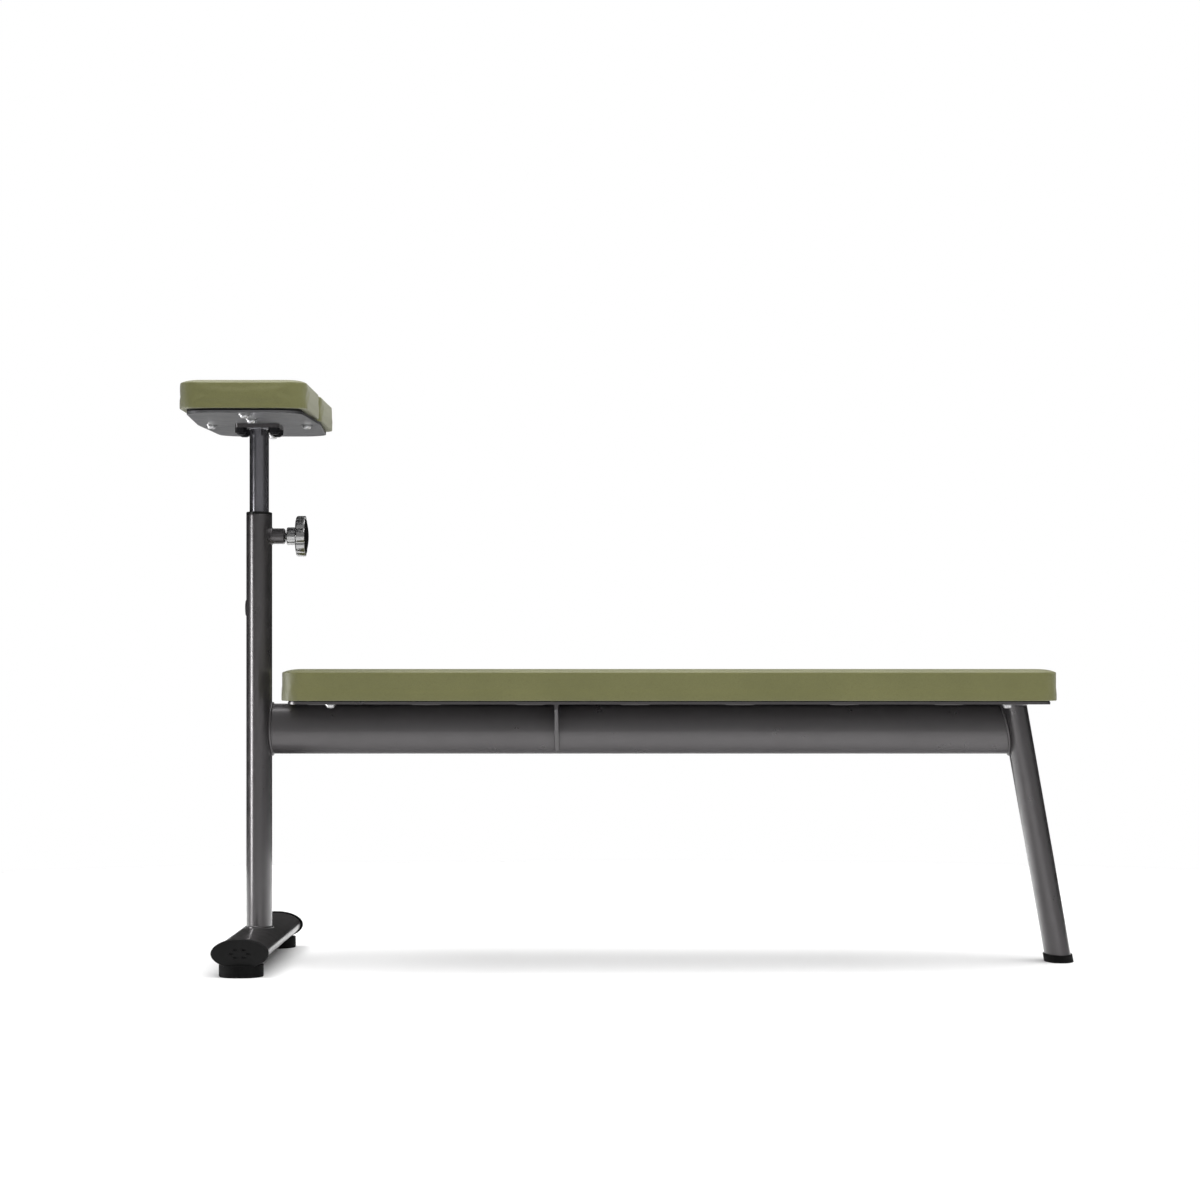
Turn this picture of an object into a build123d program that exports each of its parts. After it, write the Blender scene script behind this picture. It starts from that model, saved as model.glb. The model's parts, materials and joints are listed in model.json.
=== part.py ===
from build123d import *
import math
import os

# Abdominal bench with a height-adjustable calf rest.
#
# Millimetres. +X runs from the upright post towards the rear leg, +Y across the bench, +Z up.
# The origin is on the floor, at the centre of the bench's outline. Left is the -Y side.

# ---------------------------------------------------------------- driving dimensions

# Elliptical tube of the welded frame.
TUBE_WIDE = 80.0
TUBE_NARROW = 40.0
TUBE_WALL = 2.0

# Cross foot, under the post.
FOOT_TUBE_LENGTH = 536.0
FOOT_SEAT_DEPTH = 2.0
END_CAP_THICKNESS = 8.0
END_CAP_RIM_X = 3.5
END_CAP_RIM_Z = 2.0
END_CAP_EDGE = 2.0
END_CAP_PLUG_TO_INSERT = 1.5
END_CAP_PLUG_WALL = 3.0
END_CAP_SLOTS = 6
END_CAP_SLOT_LENGTH = 7.0
END_CAP_SLOT_WIDTH = 3.4
END_CAP_SLOT_DEPTH = 3.0
END_CAP_RING_X = 13.0
END_CAP_RING_Z = 6.6

# Rubber feet and their fastening.
RUBBER_FOOT_DIAMETER = 67.0
RUBBER_FOOT_HEIGHT = 18.0
RUBBER_FOOT_INSET = 17.0
RUBBER_FOOT_CHAMFER = 1.2
FOOT_SCREW_RADIUS = 4.0
FOOT_SCREW_HEAD_RADIUS = 7.0
FOOT_SCREW_HEAD_HEIGHT = 4.5
FOOT_SCREW_RECESS = 6.5
FOOT_SCREW_RECESS_FIT = 1.0
FOOT_SCREW_TIP_SHORT = 1.0
INSERT_RADIUS = 5.5
INSERT_FLANGE_RADIUS = 8.0
INSERT_FLANGE_THICKNESS = 1.2
INSERT_LENGTH = 15.0

# Post, guide bush and badge.
POST_TOP_Z = 705.0
BUSH_COLLAR = 4.0
BUSH_COLLAR_EDGE = 1.0
BUSH_LENGTH = 120.0
BUSH_WALL_X = 3.0
BUSH_WALL_Y = 8.0
BUSH_FIT = 0.1
GUIDE_CLEARANCE = 0.25
BADGE_RADIUS = 12.5
BADGE_PROUD = 1.1
BADGE_EDGE = 0.5
BADGE_BELOW_POST_TOP = 147.0

# Bench: plate, beam, gussets and pad.
BENCH_HEIGHT = 461.5
BENCH_PAD_LENGTH = 1197.5
BENCH_PAD_WIDTH = 300.0
BENCH_PAD_THICKNESS = 49.0
BENCH_PAD_CORNER = 36.0
BENCH_PAD_FROM_POST = 26.5
BENCH_BACKING = 1.5
BENCH_BOARD = 15.0
BENCH_PLATE_INSET = 9.0
PLATE_THICKNESS = 4.0
BENCH_PLATE_CORNER = 24.0
BEAM_WELD_FLAT = 0.6
GUSSET_THICKNESS = 5.0
GUSSET_FROM_POST = 471.0
GUSSET_INSET = 12.0
GUSSET_TOE = 8.0
GUSSET_DROP = 74.0
GUSSET_HEEL = 12.0
BENCH_BOLT_INSET_X = 74.5
BENCH_BOLT_SPACING_Y = 200.0

# Rear leg.
LEG_INSET = 52.0
LEG_TILT = 10.0
LEG_CAP_WALL = 2.3
LEG_CAP_HEIGHT = 12.0
LEG_CAP_FLOOR = 3.0

# Calf rest: telescoping tube, flange, plates and pads.
SUPPORT_TUBE_WALL = 2.0
CALF_REST_RISE = 130.0
CALF_REST_DROP = 115.0
RISE_CLEARANCE = 13.0
DROP_CLEARANCE = 6.0
FLANGE_CORNER = 8.0
FLANGE_THICKNESS = 6.0
FLANGE_EDGE = 9.0
FLANGE_NUT_TO_TUBE = 3.0
FLANGE_BOLT_RADIUS = 5.0
FLANGE_BOLT_TIP = 1.0
FLANGE_BOLT_HEAD_RADIUS = 8.6
FLANGE_NUT_FLATS = 16.0
FLANGE_NUT_HEIGHT = 8.0
FLANGE_NUT_COLLAR = 2.0
FLANGE_NUT_COLLAR_STEP = 1.0
CALF_PAD_LENGTH = 194.0
CALF_PAD_WIDTH = 246.0
CALF_PAD_THICKNESS = 44.0
CALF_PAD_CORNER = 30.0
CALF_PAD_GAP = 4.0
CALF_BACKING = 3.0
CALF_BOARD = 12.0
CALF_PLATE_TAPER = 11.0
CALF_PLATE_INSET = 4.0
CALF_PLATE_CORNER = 42.0
CALF_PLATE_SEAM = 0.6
CALF_BOLT_INSET = 33.0
CALF_BOLT_SPACING = 97.0
SEAM_STRIP_WIDTH = 16.0
SEAM_STRIP_INSET = 9.0
SEAM_STRIP_CORNER = 4.0
SEAM_BOLT_INSET = 21.5
GLIDE_CLEARANCE = 0.4
GLIDE_THICKNESS = 4.0
GLIDE_SKIRT = 22.0
GLIDE_PLUG = 30.0
GLIDE_PLUG_WALL = 3.0

# Upholstery, the same on every pad.
COVER_THICKNESS = 1.2
COVER_TURN_UNDER = 30.0
COVER_WINDOW_CORNER = 15.0
PAD_TOP_EDGE = 6.0
PAD_BOTTOM_EDGE = 3.0
BACKING_INSET = 11.0

# Pad fasteners: domed bolts with washers, and T-nuts in the boards.
BOLT_RADIUS = 4.0
BOLT_HOLE_RADIUS = 4.5
BOLT_HEAD_RADIUS = 7.0
BOLT_HEAD_HEIGHT = 4.6
BOLT_HEAD_FLAT_RADIUS = 3.4
BOLT_SOCKET_FLATS = 5.0
BOLT_SOCKET_DEPTH = 2.4
BOLT_TIP = 2.0
BOLT_TIP_CLEARANCE = 1.0
THREAD_CLEARANCE = 0.05
WASHER_RADIUS = 8.8
WASHER_THICKNESS = 1.6
T_NUT_BARREL_RADIUS = 5.0
T_NUT_FLANGE_RADIUS = 10.0
T_NUT_FLANGE_THICKNESS = 1.5

# Clamp: boss, screw, pressure shoe and lobed knob, all on one axis along X.
CLAMP_BELOW_POST_TOP = 33.5
BOSS_RADIUS = 12.4
BOSS_LENGTH = 21.0
BOSS_CHAMFER = 2.0
SCREW_RADIUS = 6.0
SHOE_RADIUS = 5.4
SHOE_LENGTH = 5.0
SHOE_GAP = 0.3
SHOE_TO_SCREW_GAP = 0.2
BOSS_TO_KNOB_GAP = 2.8
HUB_RADIUS = 14.0
HUB_LENGTH = 14.0
HUB_CHAMFER = 1.5
KNOB_RADIUS = 32.0
KNOB_THICKNESS = 16.0
KNOB_LOBES = 8
KNOB_VALLEY_DEPTH = 3.5
KNOB_VALLEY_RADIUS = 9.0
KNOB_EDGE = 1.2
KNOB_CAP_RADIUS = 27.0
KNOB_CAP_SEAT = 2.0
KNOB_CAP_DOME = 4.0
SCREW_IN_KNOB = 8.0

# ---------------------------------------------------------------- derived places

TILT_TAN = math.tan(math.radians(LEG_TILT))
TILT_COS = math.cos(math.radians(LEG_TILT))
TILT_SIN = math.sin(math.radians(LEG_TILT))

BENCH_PAD_BOTTOM_Z = BENCH_HEIGHT - BENCH_PAD_THICKNESS
BENCH_PLATE_TOP_Z = BENCH_PAD_BOTTOM_Z - BENCH_BACKING
BENCH_PLATE_BOTTOM_Z = BENCH_PLATE_TOP_Z - PLATE_THICKNESS
BEAM_AXIS_Z = BENCH_PLATE_BOTTOM_Z + BEAM_WELD_FLAT - TUBE_WIDE / 2

LEG_FROM_POST = TUBE_NARROW / 2 + BENCH_PAD_FROM_POST + BENCH_PAD_LENGTH - LEG_INSET

# The outline reaches from the calf pads' outer edge to the leg cap's outer edge, at the floor.
LEG_FOOT_FROM_POST = LEG_FROM_POST + BENCH_PLATE_BOTTOM_Z * TILT_TAN
RIGHT_REACH = LEG_FOOT_FROM_POST + (TUBE_NARROW / 2 + LEG_CAP_WALL) / TILT_COS
LEFT_REACH = CALF_PAD_LENGTH / 2
POST_X = (LEFT_REACH - RIGHT_REACH) / 2
LEG_FOOT_X = POST_X + LEG_FOOT_FROM_POST

BENCH_PAD_X = POST_X + TUBE_NARROW / 2 + BENCH_PAD_FROM_POST + BENCH_PAD_LENGTH / 2
BENCH_PLATE_WIDTH = BENCH_PAD_WIDTH - 2 * (BENCH_PLATE_INSET + COVER_THICKNESS)
FOOT_TUBE_BOTTOM_Z = RUBBER_FOOT_HEIGHT - FOOT_SEAT_DEPTH
FOOT_TUBE_AXIS_Z = FOOT_TUBE_BOTTOM_Z + TUBE_NARROW / 2
RUBBER_FOOT_Y = FOOT_TUBE_LENGTH / 2 - RUBBER_FOOT_INSET

# The support tube runs in the bush that lines the post. At rest the calf rest stands so high that
# it can still drop by its travel before the flange nuts reach the collar.
SUPPORT_TUBE_NARROW = TUBE_NARROW - 2 * (TUBE_WALL + BUSH_WALL_X)
SUPPORT_TUBE_WIDE = TUBE_WIDE - 2 * (TUBE_WALL + BUSH_WALL_Y)
FLANGE_BOLT_DROP = FLANGE_NUT_HEIGHT + FLANGE_NUT_COLLAR + FLANGE_BOLT_TIP
FLANGE_BOTTOM_Z = POST_TOP_Z + BUSH_COLLAR + CALF_REST_DROP + DROP_CLEARANCE + FLANGE_BOLT_DROP
CALF_PLATE_BOTTOM_Z = FLANGE_BOTTOM_Z + FLANGE_THICKNESS
CALF_PLATE_TOP_Z = CALF_PLATE_BOTTOM_Z + PLATE_THICKNESS
CALF_PAD_BOTTOM_Z = CALF_PLATE_TOP_Z + CALF_BACKING
BUSH_BOTTOM_Z = POST_TOP_Z - BUSH_LENGTH
GLIDE_TOP_Z = BUSH_BOTTOM_Z - CALF_REST_RISE - RISE_CLEARANCE
SUPPORT_TUBE_BOTTOM_Z = GLIDE_TOP_Z - GLIDE_SKIRT
FLANGE_BOLT_OFFSET = SUPPORT_TUBE_NARROW / 2 + FLANGE_NUT_FLATS / 2 + FLANGE_NUT_TO_TUBE
FLANGE_SIDE = 2 * (FLANGE_BOLT_OFFSET + FLANGE_EDGE)

CALF_PAD_Y = CALF_PAD_GAP / 2 + CALF_PAD_WIDTH / 2
CALF_PAD_END_Y = CALF_PAD_GAP / 2 + CALF_PAD_WIDTH
CALF_BOLT_OUTER_Y = CALF_PAD_END_Y - CALF_BOLT_INSET
CALF_BOLT_INNER_Y = CALF_BOLT_OUTER_Y - CALF_BOLT_SPACING
SEAM_BOLT_X = CALF_PAD_LENGTH / 2 - SEAM_BOLT_INSET

CLAMP_Z = POST_TOP_Z - CLAMP_BELOW_POST_TOP
SHOE_FACE_X = POST_X + SUPPORT_TUBE_NARROW / 2 + SHOE_GAP
SCREW_TIP_X = SHOE_FACE_X + SHOE_LENGTH + SHOE_TO_SCREW_GAP
BOSS_END_X = POST_X + TUBE_NARROW / 2 + BOSS_LENGTH
HUB_X = BOSS_END_X + BOSS_TO_KNOB_GAP
KNOB_X = HUB_X + HUB_LENGTH
KNOB_FACE_X = KNOB_X + KNOB_THICKNESS

LEFT = -1
RIGHT = 1
SIDES = {"left": LEFT, "right": RIGHT}


# ---------------------------------------------------------------- shape helpers

def along_x(x):
    """Plane across the X axis at x: local x is +Y, local y is +Z, and it extrudes towards +X."""
    return Plane((x, 0, 0), x_dir=(0, 1, 0), z_dir=(1, 0, 0))


def rod_x(x_start, x_end, z, radius):
    """Round bar along X between two places."""
    return extrude(along_x(x_start) * Pos(0, z) * Circle(radius), x_end - x_start)


def rod_z(x, y, z_start, z_end, radius):
    """Round bar along Z between two heights."""
    return extrude(Pos(x, y, z_start) * Circle(radius), z_end - z_start)


def slab(z_start, z_end):
    """Large horizontal slab, used to cut other solids at two heights."""
    side = 4 * (LEFT_REACH + RIGHT_REACH)
    return Pos(0, 0, (z_start + z_end) / 2) * Box(side, side, z_end - z_start)


def upright_ellipse(size_x, size_y, z_start, z_end):
    """Solid elliptical bar on the post's axis between two heights."""
    return extrude(Pos(POST_X, 0, z_start) * Ellipse(size_x / 2, size_y / 2), z_end - z_start)


def foot_bar(size_x, size_z, y_start, y_end):
    """Solid elliptical bar along Y on the cross foot's axis."""
    plane = Plane((POST_X, y_start, FOOT_TUBE_AXIS_Z), x_dir=(1, 0, 0), z_dir=(0, 1, 0))
    return extrude(plane * Ellipse(size_x / 2, size_z / 2), y_end - y_start)


def foot_envelope():
    """Outside of the cross-foot tube, as a solid."""
    return foot_bar(TUBE_WIDE, TUBE_NARROW, -FOOT_TUBE_LENGTH / 2, FOOT_TUBE_LENGTH / 2)


def post_envelope():
    """Outside of the post, as a solid."""
    return upright_ellipse(TUBE_NARROW, TUBE_WIDE, 0, POST_TOP_Z)


def leg_bar(size_x, size_y, z_start, z_end):
    """Solid elliptical bar on the leg's tilted axis, cut level at two heights."""
    spare = TUBE_WIDE
    start = Vector(LEG_FOOT_X + spare * TILT_SIN, 0, -spare * TILT_COS)
    plane = Plane(start, x_dir=(0, 1, 0), z_dir=(-TILT_SIN, 0, TILT_COS))
    length = (z_end + 2 * spare) / TILT_COS + spare
    return extrude(plane * Ellipse(size_y / 2, size_x / 2), length) & slab(z_start, z_end)


def tapped_bar(x, y, z_start, z_end):
    """Space for a pad bolt's shank through a threaded piece."""
    return rod_z(x, y, z_start, z_end, BOLT_RADIUS + THREAD_CLEARANCE)


# ---------------------------------------------------------------- cross foot

def cross_foot_tube():
    """Elliptical tube across the floor, with a hole for each foot's rivet nut."""
    inner = foot_bar(
        TUBE_WIDE - 2 * TUBE_WALL,
        TUBE_NARROW - 2 * TUBE_WALL,
        -FOOT_TUBE_LENGTH / 2,
        FOOT_TUBE_LENGTH / 2,
    )
    tube = foot_envelope() - inner
    for side in SIDES.values():
        y = side * RUBBER_FOOT_Y
        tube -= rod_z(POST_X, y, FOOT_TUBE_BOTTOM_Z - TUBE_WALL, FOOT_TUBE_AXIS_Z, INSERT_RADIUS)
    return tube


def cross_foot_cap(side):
    """End cap: rounded oval rim with a ring of slots, and a hollow plug inside the tube."""
    outer_y = side * (FOOT_TUBE_LENGTH / 2 + END_CAP_THICKNESS)
    inner_y = side * FOOT_TUBE_LENGTH / 2
    rim = foot_bar(
        TUBE_WIDE + 2 * END_CAP_RIM_X,
        TUBE_NARROW + 2 * END_CAP_RIM_Z,
        min(inner_y, outer_y),
        max(inner_y, outer_y),
    )
    outer_face = rim.faces().sort_by(Axis.Y)[-1 if side == RIGHT else 0]
    rim = fillet(outer_face.edges(), END_CAP_EDGE)

    plug_end_y = side * (RUBBER_FOOT_Y + INSERT_RADIUS + END_CAP_PLUG_TO_INSERT)
    plug_x = TUBE_WIDE - 2 * TUBE_WALL
    plug_z = TUBE_NARROW - 2 * TUBE_WALL
    low_y = min(inner_y, plug_end_y)
    high_y = max(inner_y, plug_end_y)
    plug = foot_bar(plug_x, plug_z, low_y, high_y)
    hollow = foot_bar(plug_x - 2 * END_CAP_PLUG_WALL, plug_z - 2 * END_CAP_PLUG_WALL, low_y, high_y)
    cap = rim + (plug - hollow)

    for step in range(END_CAP_SLOTS):
        angle = 2 * math.pi * step / END_CAP_SLOTS
        slot_x = POST_X + END_CAP_RING_X * math.cos(angle)
        slot_z = FOOT_TUBE_AXIS_Z + END_CAP_RING_Z * math.sin(angle)
        plane = Plane((slot_x, outer_y, slot_z), x_dir=(1, 0, 0), z_dir=(0, -side, 0))
        outline = plane * SlotOverall(END_CAP_SLOT_LENGTH, END_CAP_SLOT_WIDTH)
        cap -= extrude(outline, END_CAP_SLOT_DEPTH)
    return cap


def rubber_foot(side):
    """Round rubber puck, shaped on top to the tube and its cap, with a recessed screw hole."""
    y = side * RUBBER_FOOT_Y
    puck = rod_z(POST_X, y, 0, RUBBER_FOOT_HEIGHT, RUBBER_FOOT_DIAMETER / 2)
    puck = chamfer(puck.faces().sort_by(Axis.Z)[0].edges(), RUBBER_FOOT_CHAMFER)
    cap_reach = FOOT_TUBE_LENGTH / 2 + END_CAP_THICKNESS
    cap_space = foot_bar(
        TUBE_WIDE + 2 * END_CAP_RIM_X,
        TUBE_NARROW + 2 * END_CAP_RIM_Z,
        min(side * FOOT_TUBE_LENGTH / 2, side * cap_reach),
        max(side * FOOT_TUBE_LENGTH / 2, side * cap_reach),
    )
    flange_z = FOOT_TUBE_BOTTOM_Z - INSERT_FLANGE_THICKNESS
    puck -= foot_envelope()
    puck -= cap_space
    puck -= rod_z(POST_X, y, flange_z, RUBBER_FOOT_HEIGHT, INSERT_FLANGE_RADIUS)
    puck -= rod_z(POST_X, y, 0, RUBBER_FOOT_HEIGHT, FOOT_SCREW_RADIUS)
    recess_radius = FOOT_SCREW_HEAD_RADIUS + FOOT_SCREW_RECESS_FIT
    return puck - rod_z(POST_X, y, 0, FOOT_SCREW_RECESS, recess_radius)


def rubber_foot_inserts():
    """Rivet nuts in the tube's lower wall, one for each rubber foot."""
    inserts = []
    for side in SIDES.values():
        y = side * RUBBER_FOOT_Y
        flange_z = FOOT_TUBE_BOTTOM_Z - INSERT_FLANGE_THICKNESS
        top_z = FOOT_TUBE_BOTTOM_Z + INSERT_LENGTH
        insert = rod_z(POST_X, y, flange_z, FOOT_TUBE_BOTTOM_Z, INSERT_FLANGE_RADIUS)
        insert += rod_z(POST_X, y, FOOT_TUBE_BOTTOM_Z, top_z, INSERT_RADIUS)
        insert -= rod_z(POST_X, y, flange_z, top_z, FOOT_SCREW_RADIUS + THREAD_CLEARANCE)
        inserts.append(insert)
    return Compound(inserts)


def rubber_foot_screws():
    """Screws up through the rubber feet into their rivet nuts."""
    screws = []
    for side in SIDES.values():
        y = side * RUBBER_FOOT_Y
        head_z = FOOT_SCREW_RECESS - FOOT_SCREW_HEAD_HEIGHT
        tip_z = FOOT_TUBE_BOTTOM_Z + INSERT_LENGTH - FOOT_SCREW_TIP_SHORT
        screw = rod_z(POST_X, y, head_z, FOOT_SCREW_RECESS, FOOT_SCREW_HEAD_RADIUS)
        screw += rod_z(POST_X, y, FOOT_SCREW_RECESS, tip_z, FOOT_SCREW_RADIUS)
        screws.append(screw)
    return Compound(screws)


# ---------------------------------------------------------------- post

def post_tube():
    """Upright tube, coped on the cross foot, with the hole that the clamp works through."""
    inner = upright_ellipse(
        TUBE_NARROW - 2 * TUBE_WALL, TUBE_WIDE - 2 * TUBE_WALL, FOOT_TUBE_AXIS_Z, POST_TOP_Z
    )
    tube = upright_ellipse(TUBE_NARROW, TUBE_WIDE, FOOT_TUBE_AXIS_Z, POST_TOP_Z)
    tube = tube - inner - foot_envelope()
    return tube - rod_x(POST_X, BOSS_END_X, CLAMP_Z, SCREW_RADIUS + THREAD_CLEARANCE)


def post_guide_bush():
    """Plastic liner in the post's top, with the collar that closes it."""
    hole_x = SUPPORT_TUBE_NARROW + 2 * GUIDE_CLEARANCE
    hole_y = SUPPORT_TUBE_WIDE + 2 * GUIDE_CLEARANCE
    top_z = POST_TOP_Z + BUSH_COLLAR
    shrink = 2 * TUBE_WALL + 2 * BUSH_FIT
    liner = upright_ellipse(TUBE_NARROW - shrink, TUBE_WIDE - shrink, BUSH_BOTTOM_Z, POST_TOP_Z)
    collar = upright_ellipse(TUBE_NARROW, TUBE_WIDE, POST_TOP_Z, top_z)
    collar = fillet(collar.faces().sort_by(Axis.Z)[-1].edges(), BUSH_COLLAR_EDGE)
    bush = liner + collar - upright_ellipse(hole_x, hole_y, BUSH_BOTTOM_Z, top_z)
    return bush - rod_x(POST_X, BOSS_END_X, CLAMP_Z, SCREW_RADIUS + THREAD_CLEARANCE)


def clamp_boss():
    """Round threaded boss on the post's inner side, coped to the tube."""
    boss = rod_x(POST_X, BOSS_END_X, CLAMP_Z, BOSS_RADIUS)
    boss = chamfer(boss.faces().sort_by(Axis.X)[-1].edges(), BOSS_CHAMFER)
    boss -= post_envelope()
    return boss - rod_x(POST_X, BOSS_END_X, CLAMP_Z, SCREW_RADIUS + THREAD_CLEARANCE)


def post_badge():
    """Blank round badge on the post's outer face."""
    face_x = POST_X - TUBE_NARROW / 2 - BADGE_PROUD
    badge = rod_x(face_x, POST_X, POST_TOP_Z - BADGE_BELOW_POST_TOP, BADGE_RADIUS)
    badge = fillet(badge.faces().sort_by(Axis.X)[0].edges(), BADGE_EDGE)
    return badge - post_envelope()


# ---------------------------------------------------------------- beam, leg and bench plate

def main_beam():
    """Tube from the post to the leg, coped at both ends, with a weld flat under the plate."""
    length = LEG_FOOT_FROM_POST
    plane = along_x(POST_X) * Pos(0, BEAM_AXIS_Z)
    outer = extrude(plane * Ellipse(TUBE_NARROW / 2, TUBE_WIDE / 2), length)
    inner_narrow = TUBE_NARROW / 2 - TUBE_WALL
    inner_wide = TUBE_WIDE / 2 - TUBE_WALL
    inner = extrude(plane * Ellipse(inner_narrow, inner_wide), length)
    beam = outer - inner - post_envelope()
    beam -= slab(BENCH_PLATE_BOTTOM_Z, BENCH_PLATE_BOTTOM_Z + TUBE_WALL)
    beam -= leg_bar(TUBE_NARROW, TUBE_WIDE, 0, BENCH_HEIGHT)
    return beam.solids().sort_by(SortBy.VOLUME)[-1]


def gusset(side):
    """Triangular web between the beam's side and the plate."""
    x = POST_X + GUSSET_FROM_POST
    top_z = BENCH_PLATE_BOTTOM_Z
    low_z = top_z - GUSSET_DROP
    reach = BENCH_PLATE_WIDTH / 2 - GUSSET_INSET
    outline = make_face(
        Polyline(
            (0, top_z),
            (side * reach, top_z),
            (side * reach, top_z - GUSSET_TOE),
            (side * GUSSET_HEEL, low_z),
            (0, low_z),
            close=True,
        )
    )
    web = extrude(along_x(x - GUSSET_THICKNESS / 2) * outline, GUSSET_THICKNESS)
    beam_plane = along_x(x - TUBE_WIDE) * Pos(0, BEAM_AXIS_Z)
    beam_space = extrude(beam_plane * Ellipse(TUBE_NARROW / 2, TUBE_WIDE / 2), 2 * TUBE_WIDE)
    return (web - beam_space).solids().sort_by(SortBy.VOLUME)[-1]


def rear_leg():
    """Tilted tube, cut level under the plate and inside its foot cap."""
    outer = leg_bar(TUBE_NARROW, TUBE_WIDE, LEG_CAP_FLOOR, BENCH_PLATE_BOTTOM_Z)
    inner_narrow = TUBE_NARROW - 2 * TUBE_WALL
    inner_wide = TUBE_WIDE - 2 * TUBE_WALL
    return outer - leg_bar(inner_narrow, inner_wide, 0, BENCH_HEIGHT)


def leg_foot_cap():
    """Shoe that the leg stands in."""
    outer_x = TUBE_NARROW + 2 * LEG_CAP_WALL
    outer_y = TUBE_WIDE + 2 * LEG_CAP_WALL
    cap = leg_bar(outer_x, outer_y, 0, LEG_CAP_HEIGHT)
    return cap - leg_bar(TUBE_NARROW, TUBE_WIDE, LEG_CAP_FLOOR, LEG_CAP_HEIGHT)


def bench_bolt_places():
    """Centres of the long pad's four bolts."""
    half_x = BENCH_PAD_LENGTH / 2 - BENCH_BOLT_INSET_X
    half_y = BENCH_BOLT_SPACING_Y / 2
    return [(BENCH_PAD_X + i * half_x, j * half_y) for i in (-1, 1) for j in (-1, 1)]


def bench_plate():
    """Long plate on the beam, leg and gussets, drilled for the pad bolts."""
    length = BENCH_PAD_LENGTH - 2 * (BENCH_PLATE_INSET + COVER_THICKNESS)
    outline = Pos(BENCH_PAD_X, 0, BENCH_PLATE_BOTTOM_Z) * RectangleRounded(
        length, BENCH_PLATE_WIDTH, BENCH_PLATE_CORNER
    )
    plate = extrude(outline, PLATE_THICKNESS)
    for x, y in bench_bolt_places():
        plate -= rod_z(x, y, BENCH_PLATE_BOTTOM_Z, BENCH_PLATE_TOP_Z, BOLT_HOLE_RADIUS)
    return plate


# ---------------------------------------------------------------- pads

class Pad:
    """A pad's layers: a board and foam wrapped in a cover, on a thin backing panel."""

    def __init__(
        self,
        centre_x,
        centre_y,
        bottom_z,
        length,
        width,
        thickness,
        corner,
        board,
        backing,
        bolts,
    ):
        self.centre_x = centre_x
        self.centre_y = centre_y
        self.bottom_z = bottom_z
        self.length = length
        self.width = width
        self.thickness = thickness
        self.corner = corner
        self.backing_thickness = backing
        self.bolts = bolts
        self.board_bottom_z = bottom_z + COVER_THICKNESS
        self.board_top_z = self.board_bottom_z + board

    def block(self, inset):
        """The pad's outside moved in by a distance on every face, with its edges rounded to suit."""
        outline = Pos(self.centre_x, self.centre_y, self.bottom_z + inset) * RectangleRounded(
            self.length - 2 * inset, self.width - 2 * inset, self.corner - inset
        )
        block = extrude(outline, self.thickness - 2 * inset)
        block = fillet(block.faces().sort_by(Axis.Z)[-1].edges(), PAD_TOP_EDGE - inset)
        return fillet(block.faces().sort_by(Axis.Z)[0].edges(), PAD_BOTTOM_EDGE - inset)

    def cover(self):
        """Upholstery: a thin wall all round, turned under the board and open in the middle."""
        window = Pos(self.centre_x, self.centre_y, self.bottom_z) * RectangleRounded(
            self.length - 2 * COVER_TURN_UNDER,
            self.width - 2 * COVER_TURN_UNDER,
            COVER_WINDOW_CORNER,
        )
        cover = self.block(0) - self.block(COVER_THICKNESS) - extrude(window, COVER_THICKNESS)
        for x, y in self.bolts:
            cover -= rod_z(x, y, self.bottom_z, self.board_bottom_z, BOLT_HOLE_RADIUS)
        return cover

    def board(self):
        """Plywood board, bored for the T-nuts."""
        board = self.block(COVER_THICKNESS) & slab(self.board_bottom_z, self.board_top_z)
        for x, y in self.bolts:
            board -= rod_z(x, y, self.board_bottom_z, self.board_top_z, T_NUT_BARREL_RADIUS)
        return board

    def foam(self):
        """Foam between board and cover, relieved over each T-nut and bolt tip."""
        flange_top = self.board_top_z + T_NUT_FLANGE_THICKNESS
        top_z = self.bottom_z + self.thickness
        foam = self.block(COVER_THICKNESS) & slab(self.board_top_z, top_z)
        for x, y in self.bolts:
            foam -= rod_z(x, y, self.board_top_z, flange_top, T_NUT_FLANGE_RADIUS)
            tip_room_z = flange_top + BOLT_TIP + BOLT_TIP_CLEARANCE
            foam -= rod_z(x, y, flange_top, tip_room_z, BOLT_HOLE_RADIUS)
        return foam

    def backing(self):
        """Thin black panel under the turned-in cover."""
        backing_z = self.bottom_z - self.backing_thickness
        outline = Pos(self.centre_x, self.centre_y, backing_z) * RectangleRounded(
            self.length - 2 * BACKING_INSET,
            self.width - 2 * BACKING_INSET,
            self.corner - BACKING_INSET,
        )
        panel = extrude(outline, self.backing_thickness)
        for x, y in self.bolts:
            panel -= rod_z(x, y, backing_z, self.bottom_z, BOLT_HOLE_RADIUS)
        return panel

    def t_nuts(self):
        """T-nuts pressed into the board from above."""
        nuts = []
        flange_top = self.board_top_z + T_NUT_FLANGE_THICKNESS
        for x, y in self.bolts:
            nut = rod_z(x, y, self.board_bottom_z, self.board_top_z, T_NUT_BARREL_RADIUS)
            nut += rod_z(x, y, self.board_top_z, flange_top, T_NUT_FLANGE_RADIUS)
            nuts.append(nut - tapped_bar(x, y, self.board_bottom_z, flange_top))
        return nuts

    def bolts_and_washers(self, plate_bottom_z):
        """Domed bolts up through the plate into the T-nuts, each on a washer."""
        tip_z = self.board_top_z + T_NUT_FLANGE_THICKNESS + BOLT_TIP
        bolts = [domed_bolt(x, y, plate_bottom_z, tip_z) for x, y in self.bolts]
        washers = [washer(x, y, plate_bottom_z) for x, y in self.bolts]
        return bolts, washers


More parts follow.
